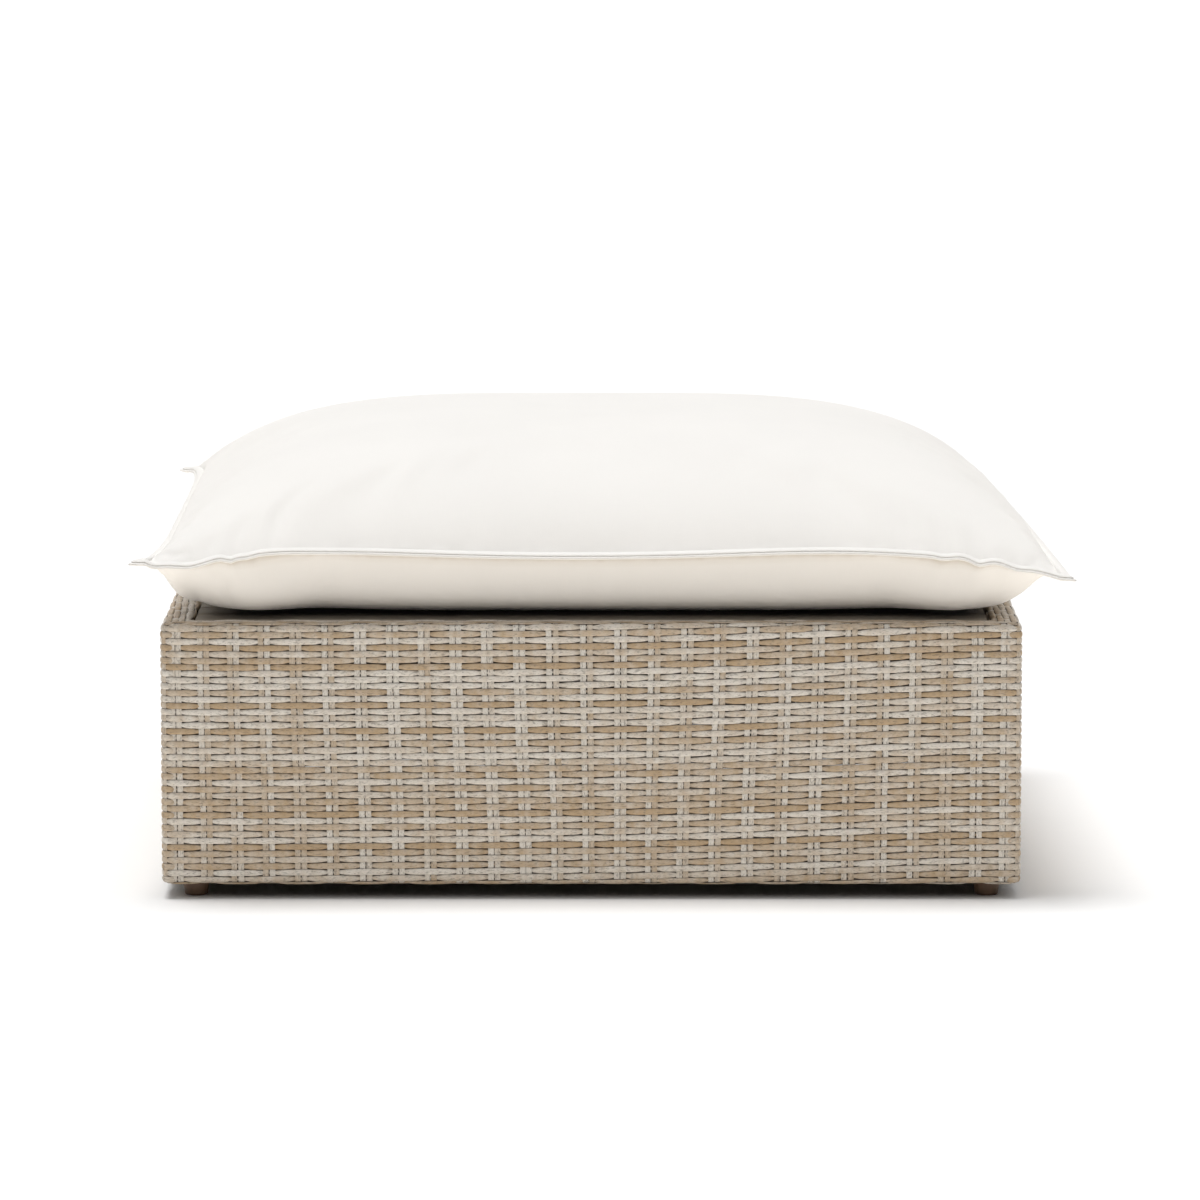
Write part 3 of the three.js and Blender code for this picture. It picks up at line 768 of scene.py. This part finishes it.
# A pad's profile from its sole up to the bore of its stud: radius and height in mm.
PAD_PROFILE = (
    (9.2, 0), (10.6, 0.05), (11.6, 0.45), (12.2, 1.2), (12.5, 2.4), (13.1, 6), (13.6, 9.6), (13.95, 12.2),
    (14, 13.4), (13.7, 14.5), (12.9, 15.1), (11.8, 15.2), (4.2, 15.2), (3.3, 15.1), (3.05, 14.7),
    (3.05, 5.2),
)
CREASE = math.radians(50)


def pad_piece(corner, material):
    """A moulded pad, spun round its stud."""
    low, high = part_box(f"foot_pad_{corner}")
    centre = (low + high) / 2
    radius, height = np.array(PAD_PROFILE).T * MM
    path = np.stack(np.broadcast_arrays(centre.x, centre.y, height), -1)
    points, faces = lathed(path[None], radius, 48)
    return mesh_piece(f"pad_{corner}", points, faces, material, crease=CREASE)


# A pan-head screw from the bearer down to the bottom of its cross recess: radius, drop and lobes.
SCREW_PROFILE = (
    (3.9, 0.05, 0), (3.95, 0.9, 0), (3.6, 1.7, 0), (2.8, 2.25, 0), (1.9, 2.4, 0.0), (1.35, 2.4, 0.42),
    (1.0, 1.5, 0.42), (0.5, 1.1, 0.0),
)


def screws_piece(material):
    """Pan-head screws under the bearers, one for each slat."""
    radius, drop, lobes = np.array(SCREW_PROFILE).T
    sides = 24
    radii = radius[:, None] * (1 + lobes[:, None] * np.cos(4 * ring_angles(sides))) * MM
    paths = []
    for place in ("left", "middle", "right"):
        low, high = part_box(f"deck_bearer_{place}")
        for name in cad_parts:
            if name.startswith("deck_slat"):
                slat_low, slat_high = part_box(name)
                x, y = (low.x + high.x) / 2, (slat_low.y + slat_high.y) / 2
                paths.append([(x, y, low.z - down * MM) for down in drop])
    points, faces = lathed(np.array(paths), radii, sides)
    return mesh_piece("slat_screws", points, faces[:, ::-1], material, crease=CREASE)


# A staple: half its width, its rise into the rail, its bend, its wire's radius, its place behind the face.
STAPLE_HALF = 5.2 * MM
STAPLE_RISE = 1.6 * MM
STAPLE_BEND = 0.4 * MM
STAPLE_RADIUS = 0.5 * MM
STAPLE_INSET = 26 * MM


def staples_piece(material):
    """Wire staples that hold the strands' ends under the bottom rails."""
    height = SKIN_LOW - STAPLE_RADIUS / 2
    out = STAPLE_HALF
    half = np.array([(-out, STAPLE_RISE), (-out, STAPLE_BEND), (-out + STAPLE_BEND, 0), (0, 0)])
    along, up = np.concatenate([half, (half * (-1, 1))[-2::-1]]).T
    rng = np.random.default_rng(5)
    front = []
    for x in np.linspace(-400, 400, 17) * MM + rng.uniform(-3, 3, 17) * MM:
        askew = rng.uniform(-0.12, 0.12)
        front.append(np.stack([x + along, STAPLE_INSET - FACE + askew * along, height + up], -1))
    front = np.array(front)
    inward = np.broadcast_to([0.0, 1.0, 0.0], front.shape)
    paths, ways = (
        np.concatenate([turn_about_z(these, turn) for turn in range(4)]) for these in (front, inward)
    )
    points, faces = swept(paths, ways, np.full(len(along), STAPLE_RADIUS))
    return mesh_piece("weave_staples", points, faces, material)


# The zip: its tapes' half thickness and half width, their distance from the middle, and its teeth.
TAPE_HALF = (0.35 * MM, 1.25 * MM)
TAPE_OFFSET = 2.2 * MM
TAPE_BEHIND = 0.75 * MM
TOOTH_BEHIND = 1.15 * MM
TOOTH_PITCH = 1.5 * MM
TOOTH = ((-1.7, 0.35), (-1.3, 0.5), (0.9, 0.62), (1.2, 0.4))
ZIP_CLEARANCE = 0.3 * MM
ZIP_THICKNESS = 1.5 * MM


def zip_seam(x):
    """The back seam's place behind the middle, as the frame's zip has it."""
    low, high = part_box("cushion_zip")
    return low.y - ZIP_CLEARANCE + (high.y - low.y - ZIP_THICKNESS) * (x / high.x) ** 2


def zip_piece(material):
    """The zip's two tapes, and its teeth between them."""
    low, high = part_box("cushion_zip")
    middle = (low.z + high.z) / 2
    x = np.linspace(-high.x, high.x, 81)
    tapes = [
        np.stack(np.broadcast_arrays(x, zip_seam(x) + TAPE_BEHIND, middle + way * TAPE_OFFSET), -1)
        for way in (-1, 1)
    ]
    turn = ring_angles(8)
    oval = np.hypot(TAPE_HALF[0] * np.cos(turn), TAPE_HALF[1] * np.sin(turn))
    points, faces = swept(np.array(tapes), np.array([0.0, 1.0, 0.0]), np.broadcast_to(oval, (len(x), 8)))
    count = int(2 * high.x / TOOTH_PITCH)
    x = (np.arange(count)[:, None] - (count - 1) / 2) * TOOTH_PITCH
    way = np.where(np.arange(count)[:, None] % 2, 1, -1)
    reach, radii = np.array(TOOTH).T * MM
    teeth = np.stack(np.broadcast_arrays(x, zip_seam(x) + TOOTH_BEHIND, middle - way * reach), -1)
    more, more_faces = swept(teeth, np.array([1.0, 0.0, 0.0]), radii, 6)
    faces = np.concatenate([faces, more_faces + len(points)])
    return mesh_piece("zip_chain", np.concatenate([points, more]), faces, material)


class Nodes:
    """Short ways to lay out a node tree."""

    def __init__(self, tree):
        self.tree = tree

    def add(self, kind, inputs=None, **values):
        """A node, with properties set by name and inputs fed by number or name."""
        node = self.tree.nodes.new(kind)
        for key, value in values.items():
            setattr(node, key, value)
        for key, item in (inputs or {}).items():
            self.feed(node.inputs[key], item)
        return node

    def feed(self, socket, item):
        """Links an output to the socket, or sets its value."""
        if isinstance(item, NodeSocket):
            self.tree.links.new(item, socket)
        else:
            socket.default_value = item

    def math(self, operation, *items):
        """A math node's result."""
        return self.add("ShaderNodeMath", dict(enumerate(items)), operation=operation).outputs[0]

    def times(self, first, second):
        return self.math("MULTIPLY", first, second)

    def plus(self, first, second):
        return self.math("ADD", first, second)

    def minus(self, first, second):
        return self.math("SUBTRACT", first, second)

    def place(self):
        """The place in the object's own axes."""
        return self.add("ShaderNodeTexCoord").outputs["Object"]

    def parts(self, vector):
        """A vector's three parts."""
        return self.add("ShaderNodeSeparateXYZ", {0: vector}).outputs

    def join(self, *items):
        """A vector from three parts."""
        return self.add("ShaderNodeCombineXYZ", dict(enumerate(items))).outputs[0]

    def attribute(self, name, output="Fac"):
        """A value that the mesh carries."""
        return self.add("ShaderNodeAttribute", attribute_name=name).outputs[output]

    def stretched(self, place, shares):
        """A place with its axes stretched."""
        return self.add("ShaderNodeVectorMath", {0: place, 1: shares}, operation="MULTIPLY").outputs[0]

    def noise(self, place, scale, detail=3.0, roughness=0.55):
        """Value of a noise texture."""
        inputs = {"Vector": place, "Scale": scale, "Detail": detail, "Roughness": roughness}
        return self.add("ShaderNodeTexNoise", inputs).outputs["Fac"]

    def ramp(self, value, low, high):
        """Runs smoothly from 0 at low to 1 at high."""
        inputs = {"Value": value, "From Min": low, "From Max": high}
        return self.add("ShaderNodeMapRange", inputs, interpolation_type="SMOOTHSTEP").outputs["Result"]

    def mix(self, share, first, second):
        """Mixes two colours, each an output or three values."""
        first, second = (item if isinstance(item, NodeSocket) else (*item, 1.0) for item in (first, second))
        inputs = {"Factor": share, "A": first, "B": second}
        return self.add("ShaderNodeMix", inputs, data_type="RGBA").outputs["Result"]

    def group(self, name, **inputs):
        """A shared node group with its inputs fed."""
        return self.add("ShaderNodeGroup", inputs, node_tree=bpy.data.node_groups[name]).outputs

    def seen(self):
        """Whether the camera looks, straight or by a mirror or glass."""
        light = self.add("ShaderNodeLightPath").outputs
        straight = self.math("MAXIMUM", light["Is Camera Ray"], light["Is Glossy Ray"])
        return self.math("MAXIMUM", straight, light["Is Transmission Ray"])


class Surface(Nodes):
    """A new material with its principled shader."""

    def __init__(self, name):
        self.material = bpy.data.materials.new(name)
        self.material.use_nodes = True
        super().__init__(self.material.node_tree)
        self.shader = self.tree.nodes["Principled BSDF"].inputs

    def finish(self, base, rough, height, distance, strength):
        """The material, with its colour, roughness and relief fed into the shader."""
        self.feed(self.shader["Base Color"], base)
        self.feed(self.shader["Roughness"], rough)
        inputs = {"Height": height, "Distance": distance, "Strength": strength}
        self.feed(self.shader["Normal"], self.add("ShaderNodeBump", inputs).outputs[0])
        return self.material


def new_group(name, inputs, outputs):
    """An empty shader node group. An input without a default is a place; all else are values."""
    tree = bpy.data.node_groups.new(name, "ShaderNodeTree")
    for label, default in inputs.items():
        kind = "NodeSocketVector" if default is None else "NodeSocketFloat"
        socket = tree.interface.new_socket(label, in_out="INPUT", socket_type=kind)
        if default is not None:
            socket.default_value = default
    for label in outputs:
        tree.interface.new_socket(label, in_out="OUTPUT", socket_type="NodeSocketFloat")
    source = tree.nodes.new("NodeGroupInput")
    sink = tree.nodes.new("NodeGroupOutput")
    return Nodes(tree), source.outputs, sink.inputs


def streaks_group():
    """Fine streaks along a strand or a board, and slow drifts of tone."""
    inputs = {"Place": None, "Length": 0.03, "Width": 0.0006, "Amount": 0.5}
    nodes, given, result = new_group("streaks", inputs, ("Streak", "Drift", "Height"))
    x, y, z = nodes.parts(given["Place"])
    along = nodes.math("DIVIDE", x, given["Length"])
    across = nodes.math("DIVIDE", y, given["Width"])
    fine = nodes.noise(nodes.join(along, across, z), 1.0, 4.0, 0.65)
    low = nodes.minus(0.62, nodes.times(given["Amount"], 0.12))
    streak = nodes.ramp(fine, low, nodes.plus(low, 0.16))
    slow = nodes.join(nodes.times(along, 0.5), nodes.times(across, 0.12), z)
    nodes.feed(result["Streak"], streak)
    nodes.feed(result["Drift"], nodes.minus(nodes.noise(slow, 1.0, 2.0, 0.5), 0.5))
    nodes.feed(result["Height"], nodes.minus(fine, nodes.times(streak, 0.35)))


def cloth_group():
    """Plain weave of fine yarn, with slubs."""
    nodes, given, result = new_group("plain_weave", {"Pitch": 0.0009, "Slub": 0.3}, ("Height", "Shade"))
    place = nodes.place()
    turn = nodes.math("DIVIDE", 2 * math.pi, given["Pitch"])
    side, deep, tall = (nodes.math("SINE", nodes.times(part, turn)) for part in nodes.parts(place))
    yarn = nodes.plus(nodes.times(side, deep), nodes.times(side, tall))
    slub, slub_up = (
        nodes.noise(nodes.stretched(place, shares), 1.0, 2.0, 0.5)
        for shares in ((60.0, 900.0, 900.0), (900.0, 60.0, 60.0))
    )
    slubs = nodes.times(nodes.plus(slub, slub_up), given["Slub"])
    nodes.feed(result["Height"], nodes.plus(nodes.times(yarn, 0.3), slubs))
    soft = nodes.noise(place, 7.0, 2.0, 0.5)
    nodes.feed(result["Shade"], nodes.plus(nodes.times(soft, 0.5), nodes.times(slubs, 0.5)))


def dust_group():
    """Pale dust that settles on what faces up, in patches."""
    nodes, given, result = new_group("dust", {"Amount": 0.3, "Patch": 14.0}, ("Mask",))
    normal = nodes.add("ShaderNodeNewGeometry").outputs["Normal"]
    up = nodes.ramp(nodes.parts(normal)[2], 0.2, 1.0)
    patches = nodes.ramp(nodes.noise(nodes.place(), given["Patch"], 5.0, 0.6), 0.35, 0.75)
    nodes.feed(result["Mask"], nodes.times(nodes.times(up, patches), given["Amount"]))


def wear_group():
    """Worn edges: a mask along edges, broken up by noise."""
    nodes, given, result = new_group("edge_wear", {"Width": 0.0008, "Grain": 300.0}, ("Mask",))
    bevel = nodes.add("ShaderNodeBevel", {"Radius": given["Width"]}, samples=4).outputs[0]
    normal = nodes.add("ShaderNodeNewGeometry").outputs["True Normal"]
    same = nodes.add("ShaderNodeVectorMath", {0: bevel, 1: normal}, operation="DOT_PRODUCT").outputs["Value"]
    edge = nodes.ramp(nodes.minus(1.0, same), 0.02, 0.2)
    broken = nodes.ramp(nodes.noise(nodes.place(), given["Grain"], 4.0, 0.6), 0.45, 0.62)
    nodes.feed(result["Mask"], nodes.times(edge, broken))


def strand_material(weave):
    """Streaked resin: tan to whitish by the strand's tone, with fine dark streaks, dust, and painted shade
    in the grooves between strands.
    """
    nodes = Surface("resin_strand")
    line = nodes.attribute("strand", "Vector")
    streak = nodes.group("streaks", Place=line, Length=0.005, Width=0.0019, Amount=0.9)
    hair = nodes.group("streaks", Place=line, Length=0.004, Width=0.0007, Amount=0.8)
    tone = nodes.plus(nodes.attribute("tone"), nodes.times(streak["Drift"], 1.2))
    base = nodes.mix(nodes.ramp(tone, -0.25, 1.35), weave.brown, weave.whitish)
    base = nodes.mix(nodes.times(streak["Streak"], 0.5), base, weave.streak)
    base = nodes.mix(nodes.times(hair["Streak"], 0.42), base, weave.streak)
    # Painted shade in the grooves, where the strands pass behind one another.
    base = nodes.mix(nodes.ramp(nodes.attribute("groove"), 0.15, 0.8), base, weave.groove)
    base = nodes.mix(nodes.group("dust", Amount=0.12, Patch=20.0)["Mask"], base, weave.whitish)
    rough = nodes.plus(0.5, nodes.times(hair["Streak"], 0.2))
    height = nodes.plus(streak["Height"], nodes.times(hair["Height"], 0.6))
    return nodes.finish(base, rough, height, 0.3 * MM, 0.8)


# How far the cushion's painted shadow reaches on the deck to each side of its middle, with soft edges.
SHADE_MIDDLE = 12 * MM
SHADE_SIDE = (410 * MM, 385 * MM)
SHADE_DEPTH = (390 * MM, 370 * MM)


def slat_material(deck):
    """Grey faux wood with fine grain along the board, and a painted shadow under the cushion."""
    nodes = Surface("faux_wood")
    place = nodes.place()
    grain = nodes.group("streaks", Place=place, Length=0.12, Width=0.0022, Amount=0.8)
    fine = nodes.group("streaks", Place=place, Length=0.05, Width=0.0008, Amount=0.6)
    base = nodes.mix(nodes.plus(0.55, nodes.times(grain["Drift"], 1.4)), deck.dark, deck.light)
    base = nodes.mix(nodes.times(grain["Streak"], 0.55), base, deck.dark)
    base = nodes.mix(nodes.times(fine["Streak"], 0.35), base, deck.dark)
    wear = nodes.group("edge_wear", Width=0.0012, Grain=120.0)["Mask"]
    base = nodes.mix(nodes.times(wear, 0.4), base, deck.light)
    base = nodes.mix(nodes.group("dust", Amount=0.15, Patch=9.0)["Mask"], base, (0.45, 0.42, 0.38))
    x, y, _ = nodes.parts(place)
    side = nodes.ramp(nodes.math("ABSOLUTE", nodes.minus(x, SHADE_MIDDLE)), *SHADE_SIDE)
    deep = nodes.ramp(nodes.math("ABSOLUTE", y), *SHADE_DEPTH)
    # Painted shadow: the slats turn darker where the cushion overhangs them.
    base = nodes.mix(nodes.times(nodes.times(side, deep), 0.8), base, deck.painted_shadow)
    rough = nodes.plus(0.55, nodes.times(fine["Streak"], 0.2))
    return nodes.finish(base, rough, nodes.plus(grain["Height"], fine["Height"]), 0.4 * MM, 0.7)


def coated_material(name, coat, bare, rough, metallic=0.0):
    """Satin powder coat with orange peel, worn to metal along its edges."""
    nodes = Surface(name)
    place = nodes.place()
    wear = nodes.group("edge_wear", Width=0.0009, Grain=260.0)["Mask"]
    patch = nodes.noise(place, 25.0, 3.0, 0.5)
    base = nodes.mix(nodes.times(patch, 0.35), coat, [part * 0.7 for part in coat])
    base = nodes.mix(wear, base, bare)
    base = nodes.mix(nodes.group("dust", Amount=0.25, Patch=30.0)["Mask"], base, (0.5, 0.46, 0.4))
    nodes.feed(nodes.shader["Metallic"], nodes.math("MAXIMUM", metallic, wear))
    rough = nodes.plus(rough, nodes.times(patch, 0.15))
    return nodes.finish(base, rough, nodes.noise(place, 1800.0, 2.0, 0.5), 0.1 * MM, 0.5)


def pad_material(foot):
    """Brown moulded nylon, scuffed at the sole's edge."""
    nodes = Surface("brown_nylon")
    place = nodes.place()
    wear = nodes.group("edge_wear", Width=0.0012, Grain=500.0)["Mask"]
    patch = nodes.noise(place, 90.0, 4.0, 0.6)
    base = nodes.mix(patch, foot.brown, [part * 1.5 for part in foot.brown])
    base = nodes.mix(nodes.times(wear, 0.5), base, (0.3, 0.22, 0.16))
    rough = nodes.plus(0.36, nodes.times(patch, 0.25))
    return nodes.finish(base, rough, nodes.noise(place, 900.0, 3.0, 0.6), 0.1 * MM, 0.6)


def cloth_material(cushion):
    """Off-white outdoor cloth: plain weave with slubs and a soft sheen, with painted shade in the ditch
    under the seam.
    """
    nodes = Surface("cushion_cloth")
    cloth = nodes.group("plain_weave", Pitch=0.0011, Slub=0.35)
    shade = nodes.ramp(cloth["Shade"], 0.1, 0.75)
    deep, pale = ([part * share for part in cushion.cloth] for share in (0.965, 1.015))
    base = nodes.mix(shade, deep, pale)
    # Painted shade in the ditch under the flange, darker and warmer than the cloth.
    painted_ditch_shade = [part * share for part, share in zip(cushion.cloth, (0.6, 0.54, 0.46))]
    base = nodes.mix(nodes.attribute("ditch"), base, painted_ditch_shade)
    nodes.shader["Sheen Weight"].default_value = 0.15
    nodes.shader["Sheen Roughness"].default_value = 0.6
    return nodes.finish(base, nodes.plus(0.82, nodes.times(shade, 0.1)), cloth["Height"], 0.25 * MM, 0.5)


def thread_material(cushion):
    """Twisted thread, a little darker than the cloth. The stitches and the zip share it."""
    if "thread" in bpy.data.materials:
        return bpy.data.materials["thread"]
    nodes = Surface("thread")
    place = nodes.place()
    twist = nodes.noise(place, 2200.0, 2.0, 0.6)
    patch = nodes.noise(place, 60.0, 3.0, 0.5)
    pale, deep = ([part * share for part in cushion.cloth] for share in (0.97, 0.8))
    base = nodes.mix(nodes.times(twist, patch), pale, deep)
    return nodes.finish(base, nodes.plus(0.5, nodes.times(patch, 0.2)), twist, 0.1 * MM, 0.5)


# The floor's light is warm, and it fades out between these distances from the face, under the base.
FLOOR_TINT = (1.0, 0.955, 0.89)
FLOOR_EDGE = (-10 * MM, 30 * MM)


def floor_material(stage):
    """Pale floor that keeps the object's shadow; the camera and mirrors see it white."""
    nodes = Surface("white_floor")
    grain = nodes.noise(nodes.place(), 40.0, 2.0, 0.5)
    seen = nodes.seen()
    x, y, _ = nodes.parts(nodes.place())
    reach = nodes.math("MAXIMUM", nodes.math("ABSOLUTE", x), nodes.math("ABSOLUTE", y))
    open_floor = nodes.ramp(reach, *(FACE + edge for edge in FLOOR_EDGE))
    warm = [share * stage.floor_bounce for share in FLOOR_TINT]
    # Painted shade: under the base the floor is near black to all but the camera, so it sends back almost no
    # light there.
    bounce = nodes.mix(open_floor, [0.02] * 3, nodes.mix(grain, warm, [0.97 * share for share in warm]))
    nodes.feed(nodes.shader["Base Color"], nodes.mix(seen, bounce, nodes.mix(grain, [0.95] * 3, [0.94] * 3)))
    lit = nodes.times(open_floor, nodes.minus(1.0, seen))
    glow = nodes.mix(lit, [0.0] * 3, [share * stage.floor_glow for share in FLOOR_TINT])
    nodes.feed(nodes.shader["Emission Color"], glow)
    nodes.shader["Emission Strength"].default_value = 1.0
    nodes.shader["Roughness"].default_value = 1.0
    nodes.shader["Specular IOR Level"].default_value = 0.0
    return nodes.material


def add_sun(name, strength, spread, tilt):
    """A broad distant lamp, tilted forwards and sideways from straight down, in degrees."""
    sun = bpy.data.objects.new(name, bpy.data.lights.new(name, "SUN"))
    sun.data.energy = strength
    sun.data.angle = spread
    sun.rotation_euler = (math.radians(tilt[0]), math.radians(tilt[1]), 0.0)
    bpy.context.scene.collection.objects.link(sun)


KEY_TILT = (-3, -9.4)
SIDE_TILT = (-8, 5)
# The sky is dark near the horizon and bright above these heights of its dome.
SKY_RISE = (0.2, 0.65)


class OTTOMAN_OT_stage(Operator):
    """Make the camera, the white floor, the two lights and the even sky"""

    bl_idname = "ottoman.stage"
    bl_label = "Stage"

    def execute(self, context):
        stage = settings("ottoman_stage")
        scene = context.scene
        scene.view_settings.view_transform = "Standard"
        camera = bpy.data.objects.new("camera", bpy.data.cameras.new("camera"))
        camera.data.lens = stage.lens
        camera.data.sensor_width = 36.0
        camera.location = (stage.aside, -stage.distance, stage.height)
        camera.rotation_euler = (math.pi / 2 - stage.tilt, 0.0, 0.0)
        scene.collection.objects.link(camera)
        scene.camera = camera
        half = stage.floor_size / 2
        corners = [(-half, -half, 0), (half, -half, 0), (half, half, 0), (-half, half, 0)]
        floor = mesh_piece("floor", corners, [(0, 1, 2, 3)], floor_material(stage), smooth=False)
        add_sun("key_light", stage.sun_strength, stage.sun_spread, KEY_TILT)
        add_sun("side_light", stage.side_strength, stage.sun_spread, SIDE_TILT)
        world = bpy.data.worlds.new("sky")
        world.use_nodes = True
        scene.world = world
        nodes = Nodes(world.node_tree)
        height = nodes.parts(nodes.add("ShaderNodeTexCoord").outputs["Generated"])[2]
        glow = nodes.times(nodes.ramp(height, *SKY_RISE), stage.sky_strength)
        background = world.node_tree.nodes["Background"].inputs
        background["Color"].default_value = (1.0, 1.0, 1.0, 1.0)
        nodes.feed(background["Strength"], nodes.math("MAXIMUM", glow, nodes.seen()))
        return {"FINISHED"}


class OTTOMAN_OT_weave(Operator):
    """Weave the four sides of the base: rows of strands over and under pairs of stakes"""

    bl_idname = "ottoman.weave"
    bl_label = "Weave"

    def execute(self, context):
        weave = settings("ottoman_weave")
        skin = Skin(weave)
        material = strand_material(weave)
        for side in SIDES:
            rows = weavers(skin, side).piece(f"weavers_{side}", side, material)
            uprights = stakes(skin, side).piece(f"stakes_{side}", side, material)
            for piece in (rows, uprights):
                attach(piece, "base")
            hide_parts(f"woven_wall_{side}")
        return {"FINISHED"}


def dress(node, material):
    """Gives a piece of the frame its material."""
    node.data.materials.clear()
    node.data.materials.append(material)
    for slot in node.material_slots:
        slot.material = material


def dress_all(starts, material):
    """Dresses the pieces of the frame whose names start so."""
    for name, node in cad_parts.items():
        if name.startswith(starts):
            dress(node, material)


class OTTOMAN_OT_deck(Operator):
    """Finish the slats of the deck in grey faux wood"""

    bl_idname = "ottoman.deck"
    bl_label = "Deck"

    def execute(self, context):
        dress_all("deck_slat", slat_material(settings("ottoman_deck")))
        return {"FINISHED"}


class OTTOMAN_OT_frame(Operator):
    """Finish the welded tubes and the gussets in powder coat"""

    bl_idname = "ottoman.frame"
    bl_label = "Frame"

    def execute(self, context):
        tubes = settings("ottoman_frame")
        material = coated_material("powder_coat", tubes.coat, tubes.metal, 0.45)
        dress_all(("top_rail", "bottom_rail", "corner_post", "stile", "deck_bearer", "foot_plate"), material)
        return {"FINISHED"}


class OTTOMAN_OT_feet(Operator):
    """Finish the screw feet and the small metal: brown pads, zinc studs, nuts, screws and staples"""

    bl_idname = "ottoman.feet"
    bl_label = "Feet"

    def execute(self, context):
        foot = settings("ottoman_foot")
        pads = pad_material(foot)
        zinc = coated_material("zinc_plate", foot.zinc, foot.zinc, 0.3, metallic=0.9)
        dress_all(("foot_stud", "foot_nut"), zinc)
        for corner in CORNERS:
            pad = pad_piece(corner, pads)
            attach(pad, f"foot_{corner}")
            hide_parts(f"foot_pad_{corner}")
        for piece in (screws_piece(zinc), staples_piece(zinc)):
            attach(piece, "base")
        return {"FINISHED"}


class OTTOMAN_OT_cushion(Operator):
    """Make the loose cushion: its cover, filled and swollen, and the sewn flange round it"""

    bl_idname = "ottoman.cushion"
    bl_label = "Cushion"

    def execute(self, context):
        cushion = settings("ottoman_cushion")
        material = cloth_material(cushion)
        points, faces, number, ditch = cover_mesh(cushion)
        cover = mesh_piece("cushion_cover", points, faces, material, attributes={"ditch": ditch})
        settle(cover, number)
        flange = flange_piece(cushion, material)
        stitches = stitches_piece(cushion, thread_material(cushion))
        for piece in (cover, flange, stitches):
            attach(piece, "cushion")
        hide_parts("cushion_top_panel", "cushion_bottom_panel", "cushion_insert")
        return {"FINISHED"}


class OTTOMAN_OT_zip(Operator):
    """Finish the zip and its slider under the back flange"""

    bl_idname = "ottoman.zip"
    bl_label = "Zip"

    def execute(self, context):
        enamel = coated_material("zip_enamel", (0.74, 0.71, 0.66), (0.6, 0.6, 0.6), 0.35, metallic=0.2)
        dress(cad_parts["zip_slider"], enamel)
        chain = zip_piece(thread_material(settings("ottoman_cushion")))
        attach(chain, "cushion")
        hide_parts("cushion_zip")
        return {"FINISHED"}


class OTTOMAN_PT_panel(Panel):
    """Lists the ottoman's pieces in the sidebar"""

    bl_label = "Ottoman"
    bl_idname = "OTTOMAN_PT_panel"
    bl_space_type = "VIEW_3D"
    bl_region_type = "UI"
    bl_category = "Ottoman"

    def draw(self, context):
        layout = self.layout
        for operator in OPERATORS:
            layout.operator(operator.bl_idname)
        for name, group in GROUPS.items():
            box = layout.box()
            box.label(text=name.removeprefix("ottoman_").capitalize())
            for key in group.__annotations__:
                box.prop(getattr(context.scene, name), key)


GROUPS = {
    "ottoman_stage": StageSettings,
    "ottoman_weave": WeaveSettings,
    "ottoman_deck": DeckSettings,
    "ottoman_frame": FrameSettings,
    "ottoman_foot": FootSettings,
    "ottoman_cushion": CushionSettings,
}
OPERATORS = (
    OTTOMAN_OT_stage,
    OTTOMAN_OT_weave,
    OTTOMAN_OT_deck,
    OTTOMAN_OT_frame,
    OTTOMAN_OT_feet,
    OTTOMAN_OT_cushion,
    OTTOMAN_OT_zip,
)
CLASSES = (*GROUPS.values(), *OPERATORS, OTTOMAN_PT_panel)


def register():
    for each in CLASSES:
        bpy.utils.register_class(each)
    for name, group in GROUPS.items():
        setattr(bpy.types.Scene, name, PointerProperty(type=group))


def unregister():
    for name in GROUPS:
        delattr(bpy.types.Scene, name)
    for each in reversed(CLASSES):
        bpy.utils.unregister_class(each)


def main():
    """Makes every piece in order."""
    register()
    for build in (streaks_group, cloth_group, dust_group, wear_group):
        build()
    bpy.ops.ottoman.stage()
    bpy.ops.ottoman.weave()
    bpy.ops.ottoman.deck()
    bpy.ops.ottoman.frame()
    bpy.ops.ottoman.feet()
    bpy.ops.ottoman.cushion()
    bpy.ops.ottoman.zip()


if __name__ == "__main__":
    main()
